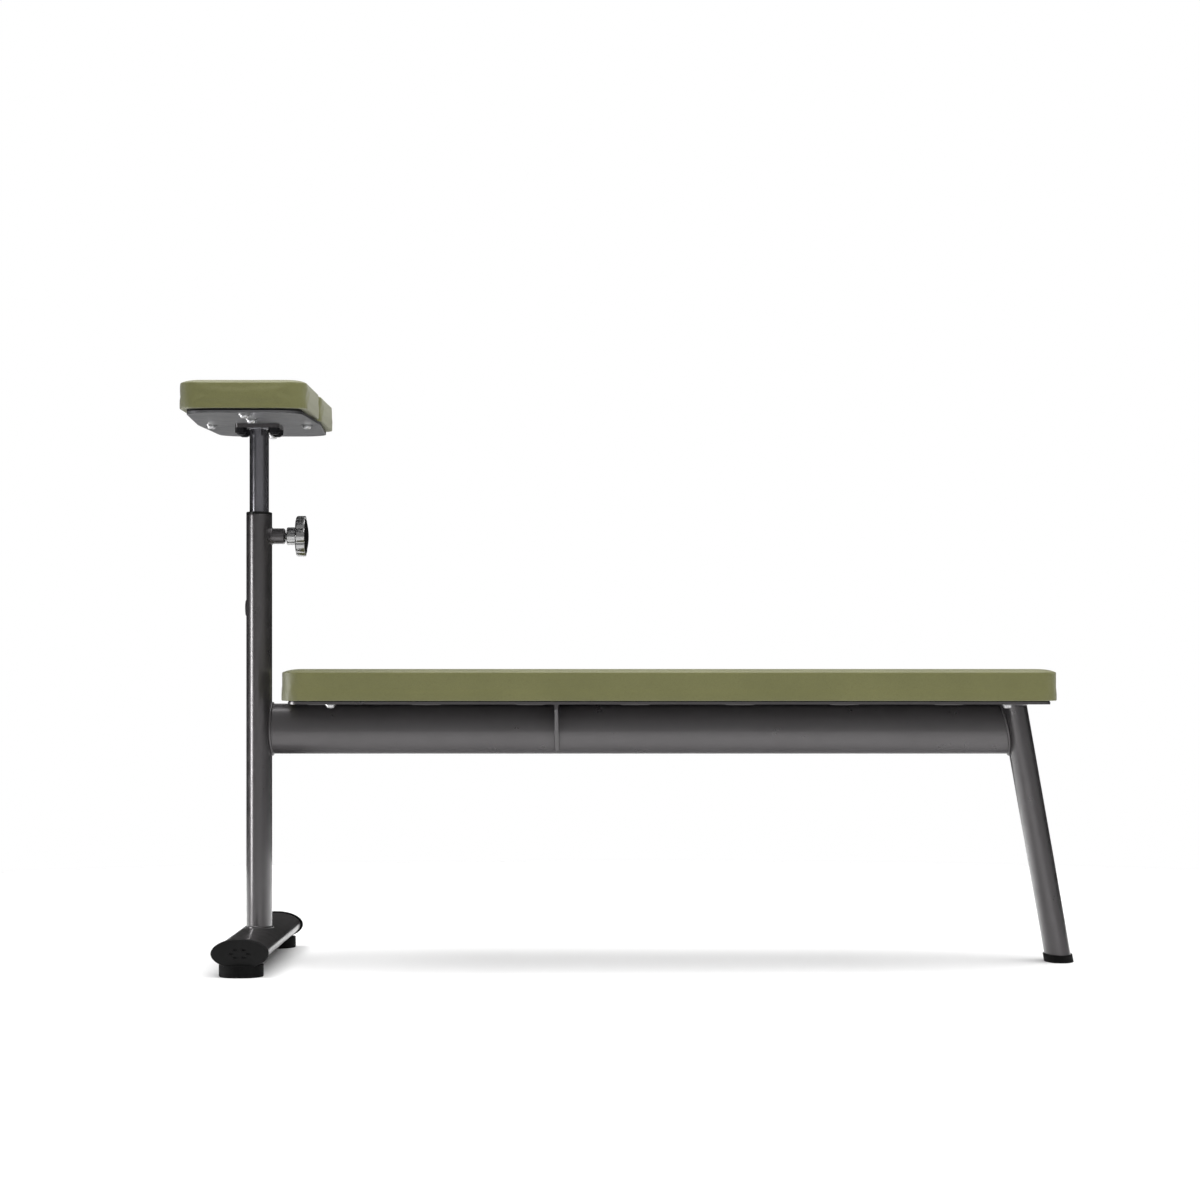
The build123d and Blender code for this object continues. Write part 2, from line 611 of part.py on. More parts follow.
def domed_bolt(x, y, plate_bottom_z, tip_z):
    """Bolt with a domed head and a hexagon socket, its head below a washer."""
    seat_z = plate_bottom_z - WASHER_THICKNESS
    flat = BOLT_HEAD_FLAT_RADIUS
    round_width = BOLT_HEAD_RADIUS - flat
    profile = make_face(
        Line((0, 0), (BOLT_HEAD_RADIUS, 0))
        + EllipticalCenterArc((flat, 0), round_width, BOLT_HEAD_HEIGHT, 270, arc_size=90)
        + Line((flat, -BOLT_HEAD_HEIGHT), (0, -BOLT_HEAD_HEIGHT))
        + Line((0, -BOLT_HEAD_HEIGHT), (0, 0))
    )
    head = revolve(Plane.XZ * profile, Axis.Z)
    socket = extrude(
        Pos(0, 0, -BOLT_HEAD_HEIGHT) * RegularPolygon(BOLT_SOCKET_FLATS / 2, 6, major_radius=False),
        BOLT_SOCKET_DEPTH,
    )
    head = Pos(x, y, seat_z) * (head - socket)
    return head + rod_z(x, y, seat_z, tip_z, BOLT_RADIUS)


def washer(x, y, plate_bottom_z):
    """Flat washer against a plate's underside."""
    low_z = plate_bottom_z - WASHER_THICKNESS
    disc = rod_z(x, y, low_z, plate_bottom_z, WASHER_RADIUS)
    return disc - rod_z(x, y, low_z, plate_bottom_z, BOLT_HOLE_RADIUS)


def bench_pad():
    """The long pad."""
    return Pad(
        BENCH_PAD_X,
        0,
        BENCH_PAD_BOTTOM_Z,
        BENCH_PAD_LENGTH,
        BENCH_PAD_WIDTH,
        BENCH_PAD_THICKNESS,
        BENCH_PAD_CORNER,
        BENCH_BOARD,
        BENCH_BACKING,
        bench_bolt_places(),
    )


def calf_pad(side):
    """One of the two calf pads."""
    bolts = [(POST_X, side * CALF_BOLT_INNER_Y), (POST_X, side * CALF_BOLT_OUTER_Y)]
    return Pad(
        POST_X,
        side * CALF_PAD_Y,
        CALF_PAD_BOTTOM_Z,
        CALF_PAD_LENGTH,
        CALF_PAD_WIDTH,
        CALF_PAD_THICKNESS,
        CALF_PAD_CORNER,
        CALF_BOARD,
        CALF_BACKING,
        bolts,
    )


# ---------------------------------------------------------------- calf rest

def flange_bolt_places(sides=(LEFT, RIGHT)):
    """Centres of the flange bolts, on one side of the seam or both."""
    offset = FLANGE_BOLT_OFFSET
    return [(POST_X + i * offset, side * offset) for side in sides for i in (-1, 1)]


def support_tube():
    """Inner tube that telescopes in the post and carries the calf rest."""
    outer = upright_ellipse(
        SUPPORT_TUBE_NARROW, SUPPORT_TUBE_WIDE, SUPPORT_TUBE_BOTTOM_Z, FLANGE_BOTTOM_Z
    )
    inner_x = SUPPORT_TUBE_NARROW - 2 * SUPPORT_TUBE_WALL
    inner_y = SUPPORT_TUBE_WIDE - 2 * SUPPORT_TUBE_WALL
    return outer - upright_ellipse(inner_x, inner_y, SUPPORT_TUBE_BOTTOM_Z, FLANGE_BOTTOM_Z)


def support_tube_glide():
    """Plastic glide on the tube's lower end: it runs in the post and stops below the bush."""
    bottom_z = SUPPORT_TUBE_BOTTOM_Z - GLIDE_THICKNESS
    shrink = 2 * TUBE_WALL + 2 * GLIDE_CLEARANCE
    skirt = upright_ellipse(TUBE_NARROW - shrink, TUBE_WIDE - shrink, bottom_z, GLIDE_TOP_Z)
    skirt -= upright_ellipse(
        SUPPORT_TUBE_NARROW, SUPPORT_TUBE_WIDE, SUPPORT_TUBE_BOTTOM_Z, GLIDE_TOP_Z
    )
    plug_x = SUPPORT_TUBE_NARROW - 2 * SUPPORT_TUBE_WALL
    plug_y = SUPPORT_TUBE_WIDE - 2 * SUPPORT_TUBE_WALL
    plug_top_z = SUPPORT_TUBE_BOTTOM_Z + GLIDE_PLUG
    plug = upright_ellipse(plug_x, plug_y, SUPPORT_TUBE_BOTTOM_Z, plug_top_z)
    hollow_x = plug_x - 2 * GLIDE_PLUG_WALL
    hollow_y = plug_y - 2 * GLIDE_PLUG_WALL
    return skirt + plug - upright_ellipse(hollow_x, hollow_y, bottom_z, plug_top_z)


def mounting_flange():
    """Square flange on the tube's top, drilled for four bolts."""
    outline = Pos(POST_X, 0, FLANGE_BOTTOM_Z) * RectangleRounded(
        FLANGE_SIDE, FLANGE_SIDE, FLANGE_CORNER
    )
    flange = extrude(outline, FLANGE_THICKNESS)
    for x, y in flange_bolt_places():
        flange -= rod_z(x, y, FLANGE_BOTTOM_Z, CALF_PLATE_BOTTOM_Z, FLANGE_BOLT_RADIUS)
    return flange


def countersink(x, y):
    """Cone of a flange bolt's countersunk head, through the calf plate."""
    middle_z = (CALF_PLATE_BOTTOM_Z + CALF_PLATE_TOP_Z) / 2
    cone = Cone(FLANGE_BOLT_RADIUS, FLANGE_BOLT_HEAD_RADIUS, PLATE_THICKNESS)
    return Pos(x, y, middle_z) * cone


def flange_bolts():
    """Countersunk bolts down through the calf plates and the flange."""
    tip_z = FLANGE_BOTTOM_Z - FLANGE_BOLT_DROP
    bolts = []
    for x, y in flange_bolt_places():
        shank = rod_z(x, y, tip_z, CALF_PLATE_BOTTOM_Z, FLANGE_BOLT_RADIUS)
        bolts.append(shank + countersink(x, y))
    return Compound(bolts)


def flange_nuts():
    """Lock nuts under the flange: a hexagon and the round collar of its insert."""
    hexagon_z = FLANGE_BOTTOM_Z - FLANGE_NUT_HEIGHT
    collar_z = hexagon_z - FLANGE_NUT_COLLAR
    nuts = []
    for x, y in flange_bolt_places():
        outline = Pos(x, y, hexagon_z) * RegularPolygon(FLANGE_NUT_FLATS / 2, 6, major_radius=False)
        nut = extrude(outline, FLANGE_NUT_HEIGHT)
        nut += rod_z(x, y, collar_z, hexagon_z, FLANGE_NUT_FLATS / 2 - FLANGE_NUT_COLLAR_STEP)
        nut -= rod_z(x, y, collar_z, FLANGE_BOTTOM_Z, FLANGE_BOLT_RADIUS)
        nuts.append(nut)
    return Compound(nuts)


def calf_plate(side):
    """Half of the calf rest's plate: widest at the seam, with rounded outer corners."""
    seam_y = side * CALF_PLATE_SEAM / 2
    end_y = side * (CALF_PAD_END_Y - CALF_PLATE_INSET)
    seam_half = CALF_PAD_LENGTH / 2
    end_half = seam_half - CALF_PLATE_TAPER
    outline = Polyline(
        (-seam_half, seam_y),
        (-end_half, end_y),
        (end_half, end_y),
        (seam_half, seam_y),
        close=True,
    )
    face = Pos(POST_X, 0, CALF_PLATE_BOTTOM_Z) * make_face(outline)
    outer_corners = face.vertices().sort_by(Axis.Y)
    outer_corners = outer_corners[:2] if side == LEFT else outer_corners[-2:]
    face = fillet(outer_corners, CALF_PLATE_CORNER)
    plate = extrude(face, PLATE_THICKNESS, dir=(0, 0, 1))

    holes = list(calf_pad(side).bolts)
    holes += [(POST_X + end * SEAM_BOLT_X, 0) for end in (-1, 1)]
    for x, y in holes:
        plate -= rod_z(x, y, CALF_PLATE_BOTTOM_Z, CALF_PLATE_TOP_Z, BOLT_HOLE_RADIUS)
    for x, y in flange_bolt_places([side]):
        plate -= countersink(x, y)
    return plate


def seam_strip():
    """Tapped strip over the seam that ties the two plates together."""
    length = CALF_PAD_LENGTH - 2 * SEAM_STRIP_INSET
    outline = Pos(POST_X, 0, CALF_PLATE_TOP_Z) * RectangleRounded(
        length, SEAM_STRIP_WIDTH, SEAM_STRIP_CORNER
    )
    strip = extrude(outline, CALF_BACKING)
    for end in (-1, 1):
        x = POST_X + end * SEAM_BOLT_X
        strip -= tapped_bar(x, 0, CALF_PLATE_TOP_Z, CALF_PAD_BOTTOM_Z)
    return strip


def seam_bolts():
    """Domed bolts up through the seam into the strip."""
    places = [POST_X + end * SEAM_BOLT_X for end in (-1, 1)]
    return Compound([domed_bolt(x, 0, CALF_PLATE_BOTTOM_Z, CALF_PAD_BOTTOM_Z) for x in places])


def seam_washers():
    """Washers that bridge the seam under the bolt heads."""
    places = [POST_X + end * SEAM_BOLT_X for end in (-1, 1)]
    return Compound([washer(x, 0, CALF_PLATE_BOTTOM_Z) for x in places])


# ---------------------------------------------------------------- clamp

def clamp_shoe():
    """Pressure pad that the screw pushes against the support tube."""
    return rod_x(SHOE_FACE_X, SHOE_FACE_X + SHOE_LENGTH, CLAMP_Z, SHOE_RADIUS)


def clamp_screw():
    """Threaded stud, held in the knob."""
    return rod_x(SCREW_TIP_X, KNOB_X + SCREW_IN_KNOB, CLAMP_Z, SCREW_RADIUS)


def knob():
    """Lobed knob with a hub, bored for the stud and recessed for its cap."""
    hub = rod_x(HUB_X, KNOB_X, CLAMP_Z, HUB_RADIUS)
    hub = chamfer(hub.faces().sort_by(Axis.X)[0].edges(), HUB_CHAMFER)

    rim = Pos(0, CLAMP_Z) * Circle(KNOB_RADIUS)
    valley_centre = KNOB_RADIUS - KNOB_VALLEY_DEPTH + KNOB_VALLEY_RADIUS
    for step in range(KNOB_LOBES):
        angle = 2 * math.pi * (step + 0.5) / KNOB_LOBES
        y = valley_centre * math.cos(angle)
        z = CLAMP_Z + valley_centre * math.sin(angle)
        rim -= Pos(y, z) * Circle(KNOB_VALLEY_RADIUS)
    star = extrude(along_x(KNOB_X) * rim, KNOB_THICKNESS)
    end_faces = star.faces().sort_by(Axis.X)
    star = chamfer(end_faces[0].edges() + end_faces[-1].edges(), KNOB_EDGE)

    body = hub + star
    body -= rod_x(HUB_X, KNOB_X + SCREW_IN_KNOB, CLAMP_Z, SCREW_RADIUS)
    return body - rod_x(KNOB_FACE_X - KNOB_CAP_SEAT, KNOB_FACE_X, CLAMP_Z, KNOB_CAP_RADIUS)


def knob_cap():
    """Domed disc set in the knob's outer face."""
    profile = make_face(
        Line((-KNOB_CAP_SEAT, 0), (-KNOB_CAP_SEAT, KNOB_CAP_RADIUS))
        + Line((-KNOB_CAP_SEAT, KNOB_CAP_RADIUS), (0, KNOB_CAP_RADIUS))
        + TangentArc((KNOB_CAP_DOME, 0), (0, KNOB_CAP_RADIUS), tangent=(0, 1))
        + Line((KNOB_CAP_DOME, 0), (-KNOB_CAP_SEAT, 0))
    )
    return Pos(KNOB_FACE_X, 0, CLAMP_Z) * revolve(Plane.XZ * profile, Axis.X)


# ---------------------------------------------------------------- assembly

def pad_nodes(pad, name):
    """The four layers of one pad, by node name."""
    return {
        name.format("backing"): pad.backing(),
        name.format("board"): pad.board(),
        name.format("foam"): pad.foam(),
        name.format("cover"): pad.cover(),
    }


def build():
    """Every node of the bench, by name."""
    nodes = {
        "cross_foot_tube": cross_foot_tube(),
        "rubber_foot_inserts": rubber_foot_inserts(),
        "rubber_foot_screws": rubber_foot_screws(),
        "post_tube": post_tube(),
        "post_guide_bush": post_guide_bush(),
        "clamp_boss": clamp_boss(),
        "post_badge": post_badge(),
        "main_beam": main_beam(),
        "rear_leg": rear_leg(),
        "leg_foot_cap": leg_foot_cap(),
        "bench_plate": bench_plate(),
        "support_tube": support_tube(),
        "support_tube_glide": support_tube_glide(),
        "mounting_flange": mounting_flange(),
        "flange_bolts": flange_bolts(),
        "flange_nuts": flange_nuts(),
        "seam_strip": seam_strip(),
        "seam_bolts": seam_bolts(),
        "seam_washers": seam_washers(),
        "clamp_shoe": clamp_shoe(),
        "clamp_screw": clamp_screw(),
        "knob": knob(),
        "knob_cap": knob_cap(),
    }

    bench = bench_pad()
    nodes.update(pad_nodes(bench, "bench_{}"))
    bolts, washers = bench.bolts_and_washers(BENCH_PLATE_BOTTOM_Z)
    nodes["bench_t_nuts"] = Compound(bench.t_nuts())
    nodes["bench_bolts"] = Compound(bolts)
    nodes["bench_washers"] = Compound(washers)

    calf_nuts = []
    calf_bolts = []
    calf_washers = []
    for side_name, side in SIDES.items():
        nodes[f"cross_foot_cap_{side_name}"] = cross_foot_cap(side)
        nodes[f"rubber_foot_{side_name}"] = rubber_foot(side)
        nodes[f"gusset_{side_name}"] = gusset(side)
        nodes[f"calf_plate_{side_name}"] = calf_plate(side)
        pad = calf_pad(side)
        nodes.update(pad_nodes(pad, "calf_{}_" + side_name))
        bolts, washers = pad.bolts_and_washers(CALF_PLATE_BOTTOM_Z)
        calf_nuts += pad.t_nuts()
        calf_bolts += bolts
        calf_washers += washers
    nodes["calf_t_nuts"] = Compound(calf_nuts)
    nodes["calf_bolts"] = Compound(calf_bolts)
    nodes["calf_washers"] = Compound(calf_washers)
    return nodes


os.makedirs("parts", exist_ok=True)
for node_name, shape in build().items():
    export_step(shape, f"parts/{node_name}.step")

print("post axis x", round(POST_X, 3))
print("clamp axis z", round(CLAMP_Z, 3))
print("leg foot x", round(LEG_FOOT_X, 3))
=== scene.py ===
import json
import math

import bmesh
import bpy
import numpy as np
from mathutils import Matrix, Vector


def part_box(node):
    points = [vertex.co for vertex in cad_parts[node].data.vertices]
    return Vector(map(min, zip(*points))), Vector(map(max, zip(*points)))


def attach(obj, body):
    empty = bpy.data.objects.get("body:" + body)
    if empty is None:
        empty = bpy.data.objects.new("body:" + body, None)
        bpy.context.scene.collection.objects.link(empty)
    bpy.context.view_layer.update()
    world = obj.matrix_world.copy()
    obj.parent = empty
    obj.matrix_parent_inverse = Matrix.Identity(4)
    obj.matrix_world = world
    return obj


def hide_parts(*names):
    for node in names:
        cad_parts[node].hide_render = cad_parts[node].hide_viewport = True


# Abdominal bench with a height-adjustable calf rest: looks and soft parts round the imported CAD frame.
#
# Metres, in the row frame: +X from the post towards the rear leg, +Y across the bench, +Z up.

MM = 0.001

# ---------------------------------------------------------------- what the pieces are made to

LEG_TILT = math.radians(10)

# Upholstery: a firm pad, crowned on top, with its cover pulled under the board.
BENCH_PAD_CORNER = 36.0 * MM
BENCH_PAD_SPACING = 5.0 * MM
CALF_PAD_CORNER = 30.0 * MM
CALF_PAD_SPACING = 4.0 * MM
PAD_EDGE_RADIUS = 2.0 * MM
PAD_FOOT_RADIUS = 1.5 * MM
PAD_CROWN = 4.2 * MM
PAD_CROWN_REACH = 30.0 * MM
PAD_SINK = 1.0 * MM
PAD_SWELL = 1.1 * MM
PAD_PRESSURE = 4.0
PAD_UNDERSIDE_RINGS = 8
PAD_ARC_STEPS = 3
CLOTH_FRAMES = 20
CORNER_STEPS = 12
PLEATS_PER_CORNER = 7
PLEAT_DEPTH = 0.7 * MM
PLEAT_HEIGHT = 12.0 * MM
PLEAT_FROM_CENTRE = 0.6

# Frame tubes: wall and broken edges, with one more ring a little further in to keep the edges crisp.
TUBE_WALL = 2.0 * MM
TUBE_EDGE = 0.4 * MM
TUBE_EDGE_HOLD = 1.6 * MM
TUBE_SIDES = 160

# Weld beads.
OFF_EVERY_BEAD = Vector((0.31, 0.52, 0.79))  # no bead runs along this direction
BEAD_RADIUS = 2.6 * MM
BEAD_OUT = 0.9 * MM
BEAD_STEP = 0.9 * MM
BEAD_RIPPLE = 0.22 * MM
BEAD_RIPPLE_PITCH = 2.7 * MM
BEAD_WANDER = 0.12 * MM
BEAD_WANDER_REACH = 11.0 * MM
BEAD_SIDES = 10
LOOP_STEPS = 72
BOSS_BEAD_RADIUS = 1.6 * MM
FLANGE_BEAD_RADIUS = 2.0 * MM
GUSSET_BEAD_RADIUS = 1.9 * MM
GUSSET_WELD_END = 6.0 * MM
GUSSET_WELD_STEPS = 24
STITCH_BEAD_RADIUS = 2.2 * MM
STITCH_LENGTH = 45.0 * MM
STITCH_COUNT = 7
STITCH_DROP = 1.2 * MM

# Clamp knob and its screw.
KNOB_LOBES = 8
KNOB_STEPS_PER_LOBE = 16
KNOB_LOBE_FULLNESS = 0.7
KNOB_VALLEY = 3.6 * MM
KNOB_VALLEY_AT_BACK = 0.6
KNOB_EDGE_ROUND = 3.5 * MM
KNOB_FACE_ROUND = 1.0 * MM
KNOB_THICKNESS = 15.0 * MM
KNOB_CAP_GAP = 0.2 * MM
KNOB_EDGE_STEPS = 5
HUB_RADIUS = 14.0 * MM
HUB_SCALLOP = 0.9 * MM
HUB_ROUND = 2.0 * MM
HUB_ROUND_STEPS = 3
THREAD_PITCH = 1.75 * MM
THREAD_DEPTH = 1.0 * MM
THREAD_SIDES = 48
THREAD_RINGS_PER_PITCH = 8

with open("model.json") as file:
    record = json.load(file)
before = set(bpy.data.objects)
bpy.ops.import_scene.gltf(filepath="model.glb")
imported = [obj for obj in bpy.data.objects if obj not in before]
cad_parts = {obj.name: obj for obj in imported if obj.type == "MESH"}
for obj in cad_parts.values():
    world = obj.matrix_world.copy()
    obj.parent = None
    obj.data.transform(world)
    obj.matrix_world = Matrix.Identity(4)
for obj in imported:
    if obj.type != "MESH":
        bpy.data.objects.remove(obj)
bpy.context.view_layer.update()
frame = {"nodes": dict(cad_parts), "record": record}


# ---------------------------------------------------------------- meshes

def centre_of(node):
    """Middle of a CAD node's box."""
    low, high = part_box(node)
    return (low + high) / 2


def size_of(node):
    """Side lengths of a CAD node's box."""
    low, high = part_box(node)
    return high - low


def new_piece(name, verts, faces, body, slot):
    """A smooth-shaded mesh piece that rides on a body and takes its finish from a slot."""
    mesh = bpy.data.meshes.new(name)
    mesh.from_pydata([tuple(v) for v in verts], [], faces)
    mesh.polygons.foreach_set("use_smooth", [True] * len(mesh.polygons))
    mesh.materials.append(looks[slot])
    mesh.update()
    piece = bpy.data.objects.new(name, mesh)
    bpy.context.scene.collection.objects.link(piece)
    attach(piece, body)
    return piece


def skin_rings(rings, closed_ends=True):
    """Vertices and faces of a tube through rings that hold the same number of points."""
    count = len(rings[0])
    verts = [point for ring in rings for point in ring]
    faces = []
    for ring in range(len(rings) - 1):
        low, high = ring * count, (ring + 1) * count
        for i in range(count):
            j = (i + 1) % count
            faces.append((low + i, low + j, high + j, high + i))
    if closed_ends:
        faces.append(tuple(reversed(range(count))))
        faces.append(tuple(range(len(verts) - count, len(verts))))
    return verts, faces


def rounded_rectangle(length, width, corner):
    """Points of a rounded rectangle about the origin, anticlockwise, with their corner arcs."""
    points = []
    arcs = [(1, 1, 0), (-1, 1, 90), (-1, -1, 180), (1, -1, 270)]
    for sign_x, sign_y, start in arcs:
        cx = sign_x * (length / 2 - corner)
        cy = sign_y * (width / 2 - corner)
        for step in range(CORNER_STEPS + 1):
            angle = math.radians(start + 90 * step / CORNER_STEPS)
            points.append((cx + corner * math.cos(angle), cy + corner * math.sin(angle)))
    return points


def zip_ring(first, count):
    """Faces that close an even ring of points across its mirror line."""
    faces = []
    for i in range(count // 2):
        corners = dict.fromkeys((i, i + 1, count - i - 1, (count - i) % count))
        faces.append(tuple(first + corner for corner in corners))
    return faces


def read_points(piece):
    """A mesh piece's vertices as an array."""
    points = np.empty(len(piece.data.vertices) * 3)
    piece.data.vertices.foreach_get("co", points)
    return points.reshape(-1, 3)


def write_points(piece, points):
    """Moves a mesh piece's vertices."""
    piece.data.vertices.foreach_set("co", points.ravel())
    piece.data.update()


def bake_modifiers(piece):
    """Replaces a piece's mesh by what its modifiers make of it."""
    depsgraph = bpy.context.evaluated_depsgraph_get()
    mesh = bpy.data.meshes.new_from_object(piece.evaluated_get(depsgraph), depsgraph=depsgraph)
    old = piece.data
    piece.modifiers.clear()
    piece.data = mesh
    bpy.data.meshes.remove(old)
    mesh.name = piece.name
    mesh.polygons.foreach_set("use_smooth", [True] * len(mesh.polygons))


def quarter_turn(steps):
    """Angles from 0 to 90 degrees in equal steps, in radians."""
    return [math.radians(90 * step / steps) for step in range(steps + 1)]


# ---------------------------------------------------------------- materials

class Look:
    """A procedural material: a Principled shader and the nodes that feed it, in row-frame metres."""

    def __init__(self, name, metallic=0.0, **sockets):
        self.material = bpy.data.materials.new(name)
        self.material.use_nodes = True
        self.tree = self.material.node_tree
        self.shader = self.tree.nodes["Principled BSDF"]
        self.shader.inputs["Metallic"].default_value = metallic
        for socket, value in sockets.items():
            self.shader.inputs[socket.replace("_", " ")].default_value = value
        self.coordinates = self.add("ShaderNodeTexCoord").outputs["Object"]

    def add(self, kind, inputs=None, **settings):
        """A node of that kind, with its settings, and with values or links on its inputs."""
        node = self.tree.nodes.new(kind)
        for key, value in settings.items():
            setattr(node, key, value)
        for key, value in (inputs or {}).items():
            if isinstance(value, bpy.types.NodeSocket):
                self.tree.links.new(value, node.inputs[key])
            else:
                node.inputs[key].default_value = value
        return node

    def stretched(self, x, y, z):
        """The coordinates scaled by a factor on each axis."""
        node = self.add("ShaderNodeMapping", {"Vector": self.coordinates, "Scale": (x, y, z)})
        return node.outputs["Vector"]

    def noise(self, scale, detail=3.0, roughness=0.55, vector=None):
        """Fractal noise, 0 to 1, with scale in cells a metre."""
        inputs = {
            "Vector": vector or self.coordinates,
            "Scale": scale,
            "Detail": detail,
            "Roughness": roughness,
        }
        return self.add("ShaderNodeTexNoise", inputs).outputs["Fac"]

    def cells(self, scale, feature="DISTANCE_TO_EDGE", vector=None):
        """Distance in a field of cells, with scale in cells a metre."""
        inputs = {"Vector": vector or self.coordinates, "Scale": scale}
        return self.add("ShaderNodeTexVoronoi", inputs, feature=feature).outputs["Distance"]

    def span(self, value, low, high, to_low, to_high):
        """A value moved from one range to another and held there."""
        inputs = {
            "Value": value,
            "From Min": low,
            "From Max": high,
            "To Min": to_low,
            "To Max": to_high,
        }
        return self.add("ShaderNodeMapRange", inputs).outputs["Result"]

    def spread(self, noise, to_low=0.0, to_high=1.0):
        """Noise with its usual range, about 0.3 to 0.7, widened to fill another."""
        return self.span(noise, 0.3, 0.7, to_low, to_high)

    def math(self, operation, a, b):
        """One arithmetic step on two values."""
        return self.add("ShaderNodeMath", {0: a, 1: b}, operation=operation).outputs["Value"]

    def blend(self, factor, first, second):
        """A colour between two colours."""
        node = self.add("ShaderNodeMix", {0: factor, 6: first, 7: second}, data_type="RGBA")
        return node.outputs[2]

    def edge(self, radius):
        """1 along sharp edges, falling to 0 a radius away from them."""
        rounded = self.add("ShaderNodeBevel", {"Radius": radius}).outputs["Normal"]
        flat = self.add("ShaderNodeNewGeometry").outputs["Normal"]
        dot = self.add("ShaderNodeVectorMath", {0: rounded, 1: flat}, operation="DOT_PRODUCT")
        return self.span(dot.outputs["Value"], 0.98, 0.8, 0.0, 1.0)

    def colour(self, value):
        """Links the base colour."""
        self.tree.links.new(value, self.shader.inputs["Base Color"])

    def rough(self, value):
        """Links the roughness."""
        self.tree.links.new(value, self.shader.inputs["Roughness"])

    def relief(self, height, distance, strength=1.0, under=None):
        """Bump of that depth in metres, over another bump if there is one."""
        inputs = {"Height": height, "Distance": distance, "Strength": strength}
        if under is not None:
            inputs["Normal"] = under
        normal = self.add("ShaderNodeBump", inputs).outputs["Normal"]
        self.tree.links.new(normal, self.shader.inputs["Normal"])
        return normal


def rgb(red, green, blue):
    """A linear colour with full alpha."""
    return (red, green, blue, 1.0)


def grey(shade):
    """A linear grey with full alpha."""
    return rgb(shade, shade, shade)


def powder_coat(name, dark, light, roughness):
    """Smooth metallic powder coat on steel: slow drifts of tone, faint flake and soft orange peel."""
    look = Look(name, metallic=0.75, Coat_Weight=0.3, Coat_Roughness=0.08)
    flow = look.noise(6.0, detail=4.0)
    flake = look.noise(900.0, detail=1.0)
    mix = look.math("ADD", look.math("MULTIPLY", flow, 0.7), look.math("MULTIPLY", flake, 0.3))
    look.colour(look.blend(look.spread(mix), dark, light))
    look.rough(look.spread(look.noise(40.0, detail=5.0), roughness - 0.04, roughness + 0.06))
    look.relief(look.noise(240.0, detail=1.0), 0.02 * MM, 0.4)
    return look.material


def moulded_plastic(name, shade, roughness, grain, depth):
    """Black moulded plastic or rubber with a fine spark-eroded grain."""
    look = Look(name, Specular_IOR_Level=0.15)
    patch = look.noise(22.0, detail=4.0)
    tone = look.blend(look.spread(patch), grey(shade), grey(1.5 * shade))
    worn = look.math("MULTIPLY", look.edge(0.6 * MM), 0.4)
    look.colour(look.blend(worn, tone, grey(0.03)))
    look.rough(look.spread(look.noise(90.0), roughness - 0.06, roughness + 0.06))
    coarse = look.relief(look.noise(grain, detail=2.0), depth, 0.7)
    look.relief(look.cells(grain * 1.7, "F1"), depth * 0.6, 0.4, under=coarse)
    return look.material


def synthetic_leather():
    """Olive coated fabric: pebbled grain with fine pores and painted shade in the grooves between the
    pebbles, a soft sheen and slow changes of tone.
    """
    look = Look(
        "olive_synthetic_leather",
        Sheen_Weight=0.25,
        Sheen_Roughness=0.45,
        Coat_Weight=0.08,
        Coat_Roughness=0.35,
        Specular_IOR_Level=0.55,
    )
    pebbles = look.cells(820.0)
    pores = look.cells(1900.0, "F1")
    drift = look.noise(9.0, detail=5.0, roughness=0.6)
    raised = look.span(pebbles, 0.0, 0.16, 0.0, 1.0)
    ground = look.blend(look.spread(drift), rgb(0.128, 0.128, 0.040), rgb(0.152, 0.150, 0.050))
    # Painted shade: the leather's colour darkens in the grooves between the pebbles, as if the pebbles
    # shaded them.
    painted_groove_shade = look.span(raised, 0.0, 1.0, 0.75, 0.0)
    look.colour(look.blend(painted_groove_shade, ground, rgb(0.092, 0.094, 0.028)))
    look.rough(look.span(raised, 0.0, 1.0, 0.62, 0.44))
    slack = look.relief(look.noise(26.0, detail=3.0), 0.4 * MM, 0.25)
    grain = look.relief(raised, 0.10 * MM, 0.55, under=slack)
    look.relief(pores, 0.04 * MM, 0.4, under=grain)
    return look.material


def backing_sheet():
    """Matt black non-woven sheet under the pads."""
    look = Look("black_backing_sheet", Specular_IOR_Level=0.2)
    fibre = look.noise(900.0, detail=4.0, vector=look.stretched(1.0, 4.0, 1.0))
    look.colour(look.blend(look.spread(fibre), grey(0.008), grey(0.024)))
    look.rough(look.spread(fibre, 0.75, 0.9))
    look.relief(fibre, 0.06 * MM, 0.7)
    return look.material


def plywood():
    """Raw plywood: long grain with paler streaks."""
    look = Look("raw_plywood")
    grain = look.noise(60.0, detail=6.0, vector=look.stretched(0.08, 1.0, 1.0))
    streak = look.span(grain, 0.35, 0.65, 0.0, 1.0)
    look.colour(look.blend(streak, rgb(0.42, 0.29, 0.16), rgb(0.62, 0.47, 0.29)))
    look.rough(look.spread(grain, 0.6, 0.8))
    look.relief(grain, 0.1 * MM, 0.5)
    return look.material


def bare_metal(name, dark, light, roughness):
    """Plated or polished metal with a fine tooled grain and faint handling stains."""
    look = Look(name, metallic=1.0)
    stain = look.noise(120.0, detail=5.0)
    look.colour(look.blend(look.spread(stain), dark, light))
    look.rough(look.spread(look.noise(260.0, detail=4.0), roughness - 0.05, roughness + 0.08))
    look.relief(look.noise(1400.0, detail=2.0), 0.01 * MM, 0.5)
    return look.material


